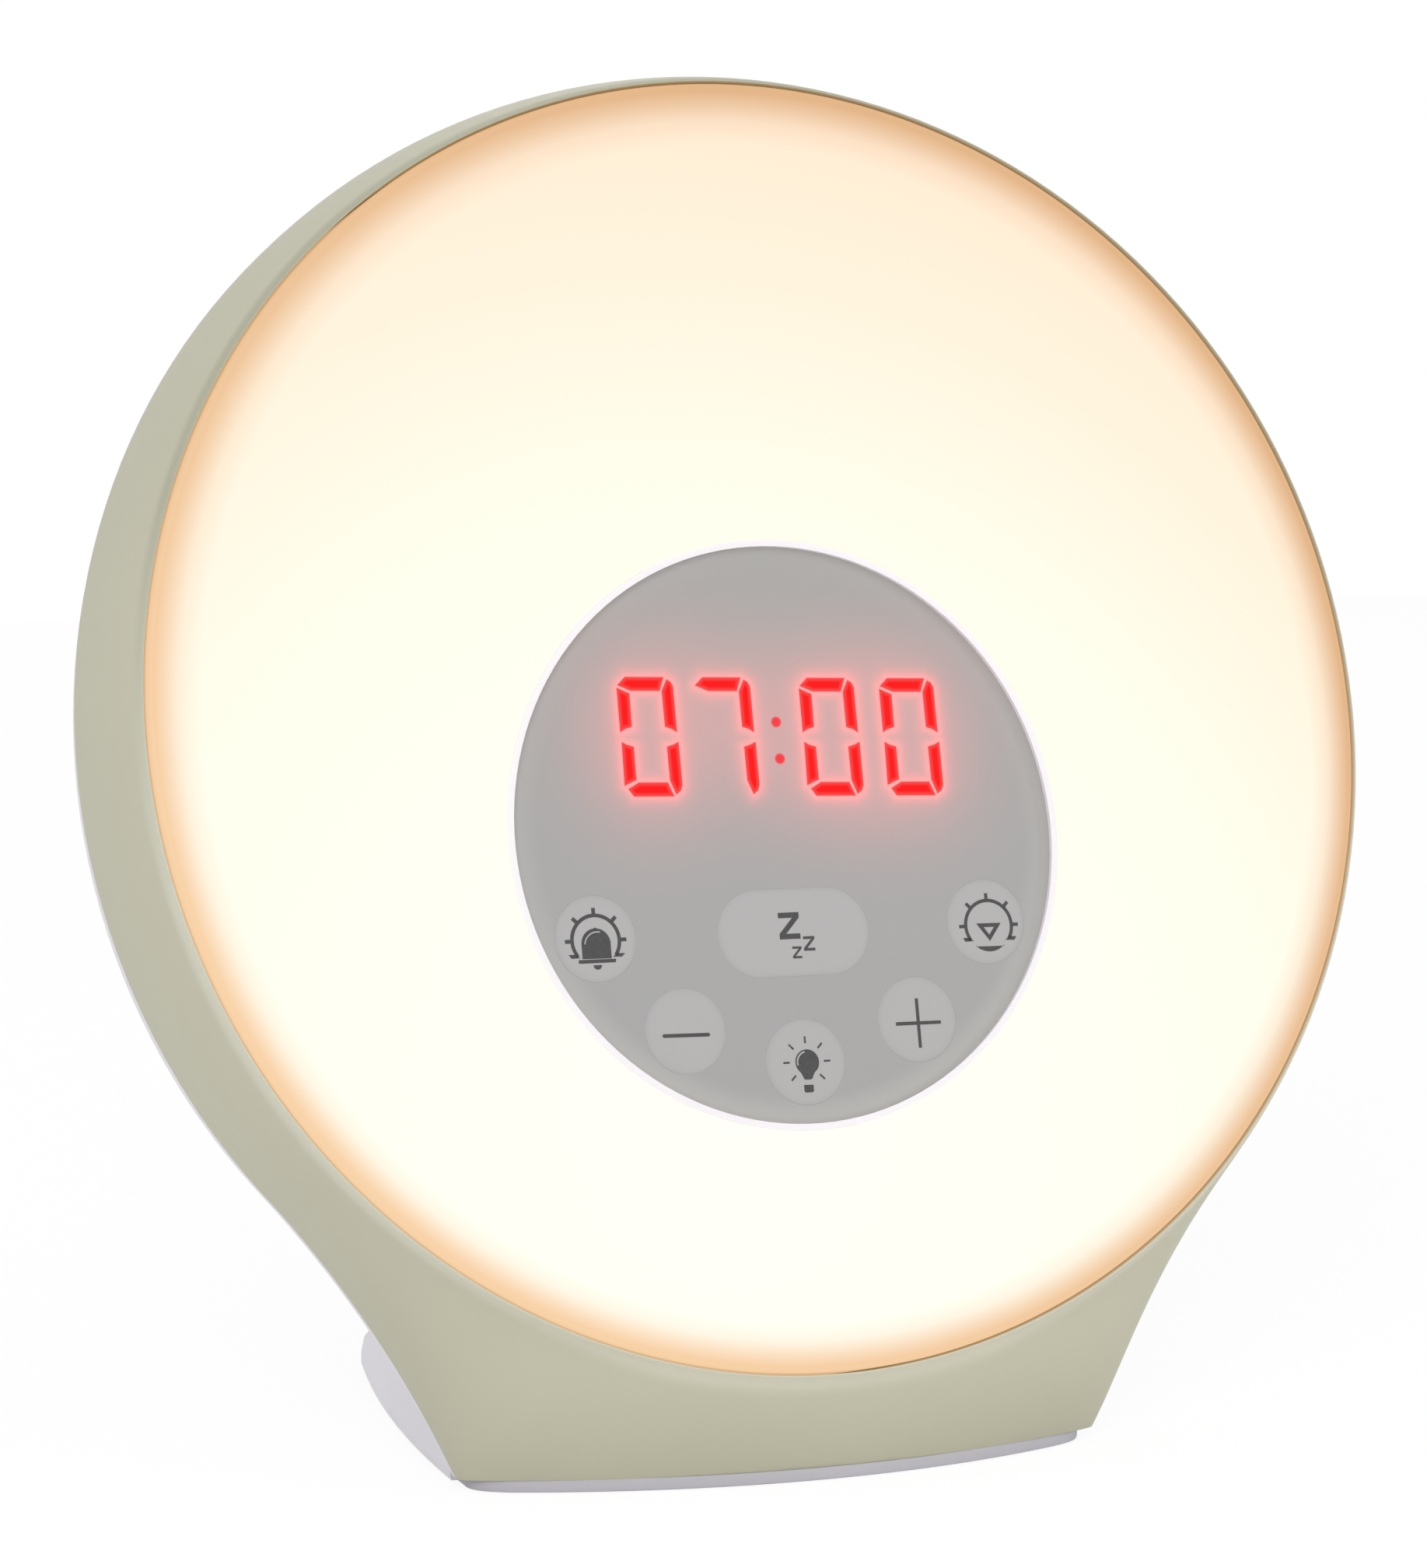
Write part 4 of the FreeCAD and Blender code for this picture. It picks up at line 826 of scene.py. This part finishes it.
# the row of figures drops slightly to the right, as it does on the photographed panel
display = {"figurePlaces": (("0", -17.05, 12.81), ("7", -6.62, 12.53), ("0", 7.63, 12.13), ("0", 18.71, 11.83)),
           "colonPlaces": ((0.29, 14.22), (0.35, 9.55)), "colonRadius": 0.7, "drop": -0.0274, "softEdge": 0.55,
           "colonEdge": 0.25, "front": 1.17, "proud": 0.02, "thickness": 0.05}


def insetPolygon(points, offset):
    # moves each side of a polygon inwards
    count = len(points)
    area = sum(points[i][0] * points[(i + 1) % count][1] - points[(i + 1) % count][0] * points[i][1]
               for i in range(count))
    hand = 1.0 if area > 0 else -1.0
    inset = []
    for i in range(count):
        before, here, after = (Vector(points[(i + k) % count]) for k in (-1, 0, 1))
        first, second = (here - before).normalized(), (after - here).normalized()
        firstNormal = Vector((-first.y, first.x)) * hand
        miter = (firstNormal + Vector((-second.y, second.x)) * hand).normalized()
        inset.append(here + miter * offset / max(miter.dot(firstNormal), 0.5))
    return inset


def barsMesh(name, shapes, softEdge):
    # each bar is a thin plate whose inner outline carries full core light and whose outer one none
    work = bmesh.new()
    core = work.verts.layers.float.new("core")
    for points in shapes:
        outer = [work.verts.new((x, y, 0.0)) for x, y in points]
        base = [work.verts.new((x, y, -display["thickness"])) for x, y in points]
        inner = [work.verts.new((p.x, p.y, 0.0)) for p in insetPolygon(points, softEdge)]
        for vert in inner:
            vert[core] = 1.0
        for i in range(len(points)):
            j = (i + 1) % len(points)
            work.faces.new((outer[i], outer[j], inner[j], inner[i]))
            work.faces.new((base[i], base[j], outer[j], outer[i]))
        work.faces.new(inner)
        work.faces.new(base)
    bmesh.ops.recalc_face_normals(work, faces=work.faces)
    return finishMesh(work, name)


def copiesTree():
    # one piece copied to every point of the base mesh, turned by the attribute "turn"
    tree = bpy.data.node_groups.new("copiesAtPlaces", "GeometryNodeTree")
    for name, way, kind in (("Geometry", "INPUT", "Geometry"), ("Piece", "INPUT", "Object"),
                            ("Size", "INPUT", "Float"), ("Finish", "INPUT", "Material"),
                            ("Geometry", "OUTPUT", "Geometry")):
        tree.interface.new_socket(name, in_out=way, socket_type="NodeSocket" + kind)
    given = addNode(tree, "NodeGroupInput").outputs
    piece = addNode(tree, "GeometryNodeObjectInfo", {"Object": given["Piece"]}).outputs["Geometry"]
    turn = addNode(tree, "GeometryNodeInputNamedAttribute", {"Name": "turn"}, data_type="FLOAT").outputs["Attribute"]
    rotation = addNode(tree, "ShaderNodeCombineXYZ", {2: turn})
    copies = addNode(tree, "GeometryNodeInstanceOnPoints", {"Points": given["Geometry"], "Instance": piece,
                     "Rotation": rotation, "Scale": given["Size"]})
    real = addNode(tree, "GeometryNodeRealizeInstances", {0: copies})
    painted = addNode(tree, "GeometryNodeSetMaterial", {"Geometry": real, "Material": given["Finish"]})
    addNode(tree, "NodeGroupOutput", {0: painted})
    return tree


copiesAtPlaces = copiesTree()


def copiesMesh(name, pieceMesh, places, finish):
    # places are (x, y, turn in degrees); the result is one plain mesh
    piece = addObject(name + "Piece", pieceMesh)
    points = bpy.data.meshes.new(name + "Places")
    points.from_pydata([(x, y, 0.0) for x, y, turn in places], [], [])
    turns = points.attributes.new("turn", "FLOAT", "POINT")
    turns.data.foreach_set("value", [math.radians(turn) for x, y, turn in places])
    holder = addObject(name + "Places", points)
    modifier = holder.modifiers.new("copiesAtPlaces", "NODES")
    modifier.node_group = copiesAtPlaces
    inputs = {item.name: item.identifier for item in copiesAtPlaces.interface.items_tree if item.in_out == "INPUT"}
    modifier[inputs["Piece"]] = piece
    modifier[inputs["Size"]] = 1.0
    modifier[inputs["Finish"]] = finishes[finish]
    result = evaluatedMesh(holder)
    result.name = name
    bpy.data.objects.remove(holder)
    bpy.data.objects.remove(piece)
    return result


def layOnPanel(mesh, place):
    # place turns a drawn point (x, y, height) into (x, depth, v) on the face
    for vert in mesh.vertices:
        vert.co = onFace(*place(*vert.co))
    return mesh


def joinMeshes(name, meshes):
    work = bmesh.new()
    for mesh in meshes:
        work.from_mesh(mesh)
    joined = bpy.data.meshes.new(name)
    work.to_mesh(joined)
    work.free()
    return joined


def makeLitDisplay(plan):
    def place(x, y, height):
        return x, plan["front"] - plan["proud"] - height, y + panelCentre

    meshes = []
    for figure in ("0", "7"):
        places = [(x, v, 0.0) for name, x, v in plan["figurePlaces"] if name == figure]
        drawn = barsMesh("figure" + figure, [figureBars[bar] for bar in figures[figure]], plan["softEdge"])
        for vert in drawn.vertices:
            vert.co.y += plan["drop"] * vert.co.x
        meshes.append(layOnPanel(copiesMesh("figures" + figure, drawn, places, "litSegment"), place))
    newObject("litFigures", joinMeshes("litFigures", meshes), "litSegment", replaced=("display_segments",))
    dot = barsMesh("colonDot", [circle(plan["colonRadius"], 32)], plan["colonEdge"])
    dots = copiesMesh("litColon", dot, [(x, v, 0.0) for x, v in plan["colonPlaces"]], "litColon")
    newObject("litColon", layOnPanel(dots, place), "litColon")


makeLitDisplay(display)
print("lit figures made")

# ---- control panel film, with the red light soaking into it round the figures
panel = {"radius": face["panelRadius"], "front": 1.17, "back": 3.1, "rimRise": 0.6, "rimWidth": 1.0, "keyGap": 0.005,
         "keyRadius": 5.4, "pillLength": 20.6, "pillHeight": 11.1, "keyPoints": 72, "rimPoints": 180,
         "fineStep": 0.36, "fineFrom": (-23.5, 2.4), "fineTo": (25.0, 22.4), "coarseStep": 2.2, "coarseReach": 36.0,
         "glowReach": 0.8, "glowFall": 1.2, "hazeReach": 8.0, "hazeFull": 3.4}
keyPlaces = {"sunrise": (-26.6, -12.15), "sunset": (26.6, -12.15), "minus": (-15.75, -24.1),
             "plus": (15.75, -24.1), "light": (0.0, -28.7), "snooze": (0.0, -12.4)}


def keySize(name, grow):
    # half the straight part of a key, and the radius of its ends
    if name == "snooze":
        return (panel["pillLength"] - panel["pillHeight"]) / 2, panel["pillHeight"] / 2 + grow
    return 0.0, panel["keyRadius"] + grow


def keyOutline(name, grow):
    # points round a key, about the panel's centre
    x, v = keyPlaces[name]
    reach, radius = keySize(name, grow)
    points = []
    for i in range(panel["keyPoints"]):
        turn = 2 * math.pi * (i + 0.5) / panel["keyPoints"]
        points.append((x + reach * (1 if math.cos(turn) > 0 else -1) + radius * math.cos(turn),
                       v + radius * math.sin(turn)))
    return points


def onAnyKey(x, v, grow):
    for name, (keyX, keyV) in keyPlaces.items():
        reach, radius = keySize(name, grow)
        if math.hypot(max(abs(x - keyX) - reach, 0.0), v - keyV) < radius:
            return True
    return False


def distanceToBar(point, bar):
    best = 1e9
    inside = False
    for first, second in zip(bar, bar[1:] + bar[:1]):
        along = second - first
        share = max(0.0, min(1.0, (point - first).dot(along) / along.length_squared))
        best = min(best, (point - first - along * share).length)
        if (first.y > point.y) != (second.y > point.y):
            if point.x < first.x + (point.y - first.y) / (second.y - first.y) * (second.x - first.x):
                inside = not inside
    return 0.0 if inside else best


def filmPoints(plan):
    # the rim and the key holes as closed lines, then points between, closest where the red light falls off
    points = []
    edges = []
    for loop in [circle(plan["radius"], plan["rimPoints"])] + [keyOutline(name, plan["keyGap"]) for name in keyPlaces]:
        start = len(points)
        points += [Vector(point) for point in loop]
        edges += [(start + i, start + (i + 1) % len(loop)) for i in range(len(loop))]

    def grid(low, high, step):
        for i in range(int((high[0] - low[0]) / step) + 1):
            for j in range(int((high[1] - low[1]) / step) + 1):
                x = low[0] + i * step + (0.5 * step if j % 2 else 0.0)
                v = low[1] + j * step
                if math.hypot(x, v) < plan["radius"] - 0.3 and not onAnyKey(x, v, plan["keyGap"] + 0.2):
                    yield Vector((x, v))

    low, high, reach = plan["fineFrom"], plan["fineTo"], plan["coarseReach"]
    points += list(grid(low, high, plan["fineStep"]))
    points += [p for p in grid((-reach, -reach), (reach, reach), plan["coarseStep"])
               if not (low[0] - 0.5 < p.x < high[0] + 0.5 and low[1] - 0.5 < p.y < high[1] + 0.5)]
    for share in (0.1, 0.25, 0.45, 0.7, 1.0, 1.5):
        points += [Vector(point) for point in circle(plan["radius"] - plan["rimWidth"] * share, plan["rimPoints"])]
    return points, edges


def makePanelFilm(plan):
    points, edges = filmPoints(plan)
    verts, madeEdges, faces = geometry.delaunay_2d_cdt(points, edges, [], 1, 1e-5)[:3]
    bars = [[Vector((x + a, v + b + display["drop"] * a)) for a, b in figureBars[bar]]
            for name, x, v in display["figurePlaces"] for bar in figures[name]]
    barMiddles = [(sum((p for p in bar), Vector((0, 0))) / len(bar)) for bar in bars]
    work = bmesh.new()
    glow = work.verts.layers.float.new("glow")
    haze = work.verts.layers.float.new("haze")
    made = []
    for point in verts:
        fromEdge = plan["radius"] - point.length
        rise = 0.0
        if fromEdge < plan["rimWidth"]:   # the film's edge turns up softly to the ring
            rise = plan["rimRise"] * (1 - max(fromEdge, 0.0) / plan["rimWidth"]) ** 2
        vert = work.verts.new(onFace(point.x, plan["front"] - rise, point.y + panelCentre))
        nearest = min(distanceToBar(point, bar) for bar in bars)
        vert[glow] = math.exp(-(nearest / plan["glowReach"]) ** plan["glowFall"])
        spread = sum(math.exp(-((point - middle).length / plan["hazeReach"]) ** 2) for middle in barMiddles)
        vert[haze] = min(1.0, spread / plan["hazeFull"])
        made.append(vert)
    for corners in faces:
        middle = sum((verts[i] for i in corners), Vector((0, 0))) / 3
        if not onAnyKey(middle.x, middle.y, plan["keyGap"]):
            work.faces.new([made[i] for i in corners])
    bmesh.ops.delete(work, geom=[vert for vert in work.verts if not vert.link_faces], context="VERTS")
    skirt = bmesh.ops.extrude_edge_only(work, edges=[edge for edge in work.edges if edge.is_boundary])
    for vert in skirt["geom"]:
        if isinstance(vert, bmesh.types.BMVert):
            depth = (vert.co - faceCentre).dot(faceBack) / mm
            vert.co += faceBack * (plan["back"] - depth) * mm
            vert[glow] = 0.0
    bmesh.ops.triangle_fill(work, edges=[edge for edge in work.edges if edge.is_boundary], use_beauty=True)
    bmesh.ops.recalc_face_normals(work, faces=work.faces)
    newObject("panelFilm", finishMesh(work, "panelFilm"), "greyPanelFilm", replaced=("control_fascia",))


makePanelFilm(panel)
print("panel film made")

# ---- keys: soft caps with rolled edges, a flange and a stem; rows are (growth, depth, edge shade)
keyCap = {"front": 1.1, "flangeFront": 3.3, "flangeBack": 4.1, "flange": 0.7, "stem": 2.2, "stemBack": 5.45,
          "rows": ((-3.0, 0.0, 0.0), (-1.5, 0.0, 0.0), (-0.7, 0.002, 0.1), (-0.45, 0.008, 0.35), (-0.25, 0.02, 0.7),
                   (-0.1, 0.035, 0.9), (-0.02, 0.05, 1.0), (0.0, 0.07, 1.0), (0.0, 0.5, 1.0))}


def makeKey(name, plan):
    x, v = keyPlaces[name]
    count = panel["keyPoints"]
    turns = [2 * math.pi * (i + 0.5) / count for i in range(count)]
    stem = [(x + plan["stem"] * math.cos(turn), v + plan["stem"] * math.sin(turn)) for turn in turns]
    drawn = [(keyOutline(name, grow), plan["front"] + depth, shade) for grow, depth, shade in plan["rows"]]
    drawn += [(keyOutline(name, 0.0), plan["flangeFront"], 1.0), (keyOutline(name, plan["flange"]),
              plan["flangeFront"], 1.0), (keyOutline(name, plan["flange"]), plan["flangeBack"], 1.0),
              (stem, plan["flangeBack"], 1.0), (stem, plan["stemBack"], 1.0)]
    work = joinRows([[onFace(a, depth, b + panelCentre) for a, b in outline] for outline, depth, shade in drawn],
                    closeEnds=True)
    edge = work.verts.layers.float.new("edge")
    work.verts.ensure_lookup_table()
    for i, (outline, depth, shade) in enumerate(drawn):
        for k in range(count):
            work.verts[i * count + k][edge] = shade
    newObject(name + "KeyCap", finishMesh(work, name + "KeyCap"), "paleGreyKeySilicone", body=name + "_button",
              replaced=(name + "_key",))


for keyName in keyPlaces:
    makeKey(keyName, keyCap)
print("keys made")

# ---- printed signs on the keys, drawn in mm about each key's centre
ink = {"proud": 0.02, "thickness": 0.03}


def arcPoints(centre, radius, start, end, count=40):
    return [(centre[0] + radius * math.cos(math.radians(start + (end - start) * i / count)),
             centre[1] + radius * math.sin(math.radians(start + (end - start) * i / count)))
            for i in range(count + 1)]


def arcBand(centre, radius, width, start, end):
    return arcPoints(centre, radius + width / 2, start, end) + \
        list(reversed(arcPoints(centre, radius - width / 2, start, end)))


def roundBar(start, end, width):
    a, b = Vector(start), Vector(end)
    heading = math.degrees(math.atan2((b - a).y, (b - a).x))
    return arcPoints(b, width / 2, heading - 90, heading + 90, 10) + \
        arcPoints(a, width / 2, heading + 90, heading + 270, 10)


def letterZ(left, right, top, bottom, stroke):
    # a plain z: two bars joined by a slanted stroke
    return [(left, top), (right, top), (right, top - stroke), (left + stroke * 1.35, bottom + stroke),
            (right, bottom + stroke), (right, bottom), (left, bottom), (left, bottom + stroke),
            (right - stroke * 1.35, top - stroke), (left, top - stroke)]


def flatMesh(name, shapes):
    # closed outlines filled by Blender's flat curve; one outline inside another is a hole
    curve = bpy.data.curves.new(name, "CURVE")
    curve.dimensions = "2D"
    curve.fill_mode = "BOTH"
    curve.extrude = ink["thickness"] / 2
    for points in shapes:
        spline = curve.splines.new("POLY")
        spline.points.add(len(points) - 1)
        for target, (x, y) in zip(spline.points, points):
            target.co = (x, y, 0.0, 1.0)
        spline.use_cyclic_u = True
    holder = addObject(name, curve)
    mesh = evaluatedMesh(holder)
    bpy.data.objects.remove(holder)
    return mesh


def printSign(name, shapes, rays=None):
    x, v = keyPlaces[name]

    def place(a, b, height):
        return x + a, keyCap["front"] - ink["proud"] + ink["thickness"] / 2 - height, v + b + panelCentre

    meshes = [flatMesh(name + "Part", group) for group in shapes]
    if rays:
        inner, outer, half = rays["inner"], rays["outer"], rays["width"] / 2
        ray = flatMesh(name + "Ray", [[(inner, half), (outer, half), (outer, -half), (inner, -half)]])
        meshes.append(copiesMesh(name + "Rays", ray, [(*rays["centre"], turn) for turn in rays["turns"]],
                                 "darkGreyInk"))
    work = bmesh.new()
    work.from_mesh(joinMeshes(name + "Sign", [layOnPanel(mesh, place) for mesh in meshes]))
    bmesh.ops.remove_doubles(work, verts=work.verts, dist=1e-7)
    bmesh.ops.recalc_face_normals(work, faces=work.faces)
    newObject(name + "Sign", finishMesh(work, name + "Sign"), "darkGreyInk", body=name + "_button")


def makeSigns():
    # rising sun round a bell
    centre = (0.01, -0.2)
    dome = (0.03, -0.62)
    bell = [(-1.93, -2.43), (-1.9, -0.55)] + arcPoints(dome, 1.93, 178, 100, 16) + \
        [(-0.2, 1.3), (0.03, 1.42), (0.26, 1.3)] + arcPoints(dome, 1.93, 80, 2, 16) + [(1.95, -0.55), (1.93, -2.47)]
    shine = arcBand((0.25, -0.85), 1.72, 0.17, 172, 76)
    printSign("sunrise", [[arcBand(centre, 3.13, 0.46, 217, -37)],
                          [[(-3.7, -1.84), (-2.72, -1.84), (-2.18, -2.28), (-3.36, -2.32)]],
                          [[(3.76, -1.9), (2.76, -1.84), (2.09, -2.29), (3.3, -2.32)]],
                          [bell, shine], [[(-2.46, -2.52), (2.5, -2.54), (2.43, -2.98), (-2.44, -2.98)]],
                          [arcPoints((0.0, -3.24), 0.56, 180, 360, 16)]],
              {"centre": centre, "inner": 3.34, "outer": 4.06, "width": 0.48, "turns": (0, 45, 90, 135, 180)})
    # setting sun over a bowl
    centre = (0.36, -0.5)
    bowl = [(-1.64, -3.12), (2.26, -3.17)] + arcPoints((0.3, -1.0), 2.82, -45, -135, 16)
    printSign("sunset", [[arcBand(centre, 3.2, 0.44, 213, -33)],
                         [[(-3.37, -1.96), (-2.45, -1.96), (-1.9, -2.42), (-3.1, -2.45)]],
                         [[(4.1, -2.02), (3.1, -1.98), (2.5, -2.44), (3.8, -2.47)]],
                         [[(-1.35, -0.19), (2.09, -0.23), (0.36, -2.48)],
                          [(-0.36, -0.69), (1.1, -0.71), (0.35, -1.68)]], [bowl]],
              {"centre": centre, "inner": 3.38, "outer": 4.12, "width": 0.44, "turns": (0, 45, 90, 135, 180)})
    # light bulb with its cap
    glass = (0.2, -0.02)
    bulb = arcPoints(glass, 1.6, -38, 218) + [(-0.75, -1.35), (-0.52, -1.85), (-0.42, -2.1), (-0.2, -2.2),
                                              (0.45, -2.2), (0.7, -2.1), (0.8, -1.85), (1.08, -1.35)]
    cap = [(-0.53, -2.84), (0.76, -2.86), (0.76, -3.5)] + arcPoints((0.51, -3.56), 0.25, 0, -90, 6) + \
        arcPoints((-0.28, -3.56), 0.25, -90, -180, 6)
    printSign("light", [[bulb, arcBand(glass, 1.32, 0.2, 195, 100)], [cap]],
              {"centre": (0.14, 0.02), "inner": 2.32, "outer": 3.19, "width": 0.24,
               "turns": (-45, 0, 45, 90, 135, 180, 225)})
    # three z for snooze
    printSign("snooze", [[letterZ(-1.95, 0.86, 2.5, -0.85, 0.68)], [letterZ(1.2, 2.73, -0.59, -2.41, 0.35)],
                         [letterZ(-0.4, 0.85, -1.81, -3.3, 0.28)]])
    printSign("minus", [[roundBar((-2.9, -0.45), (2.98, -0.55), 0.46)]])
    printSign("plus", [[[(-2.95, -0.23), (-0.08, -0.25), (-0.05, 2.65), (0.38, 2.65), (0.36, -0.26), (3.25, -0.28),
                         (3.27, -0.7), (0.35, -0.7), (0.32, -3.6), (-0.1, -3.6), (-0.09, -0.69), (-2.97, -0.68)]]])


makeSigns()
print("signs printed")
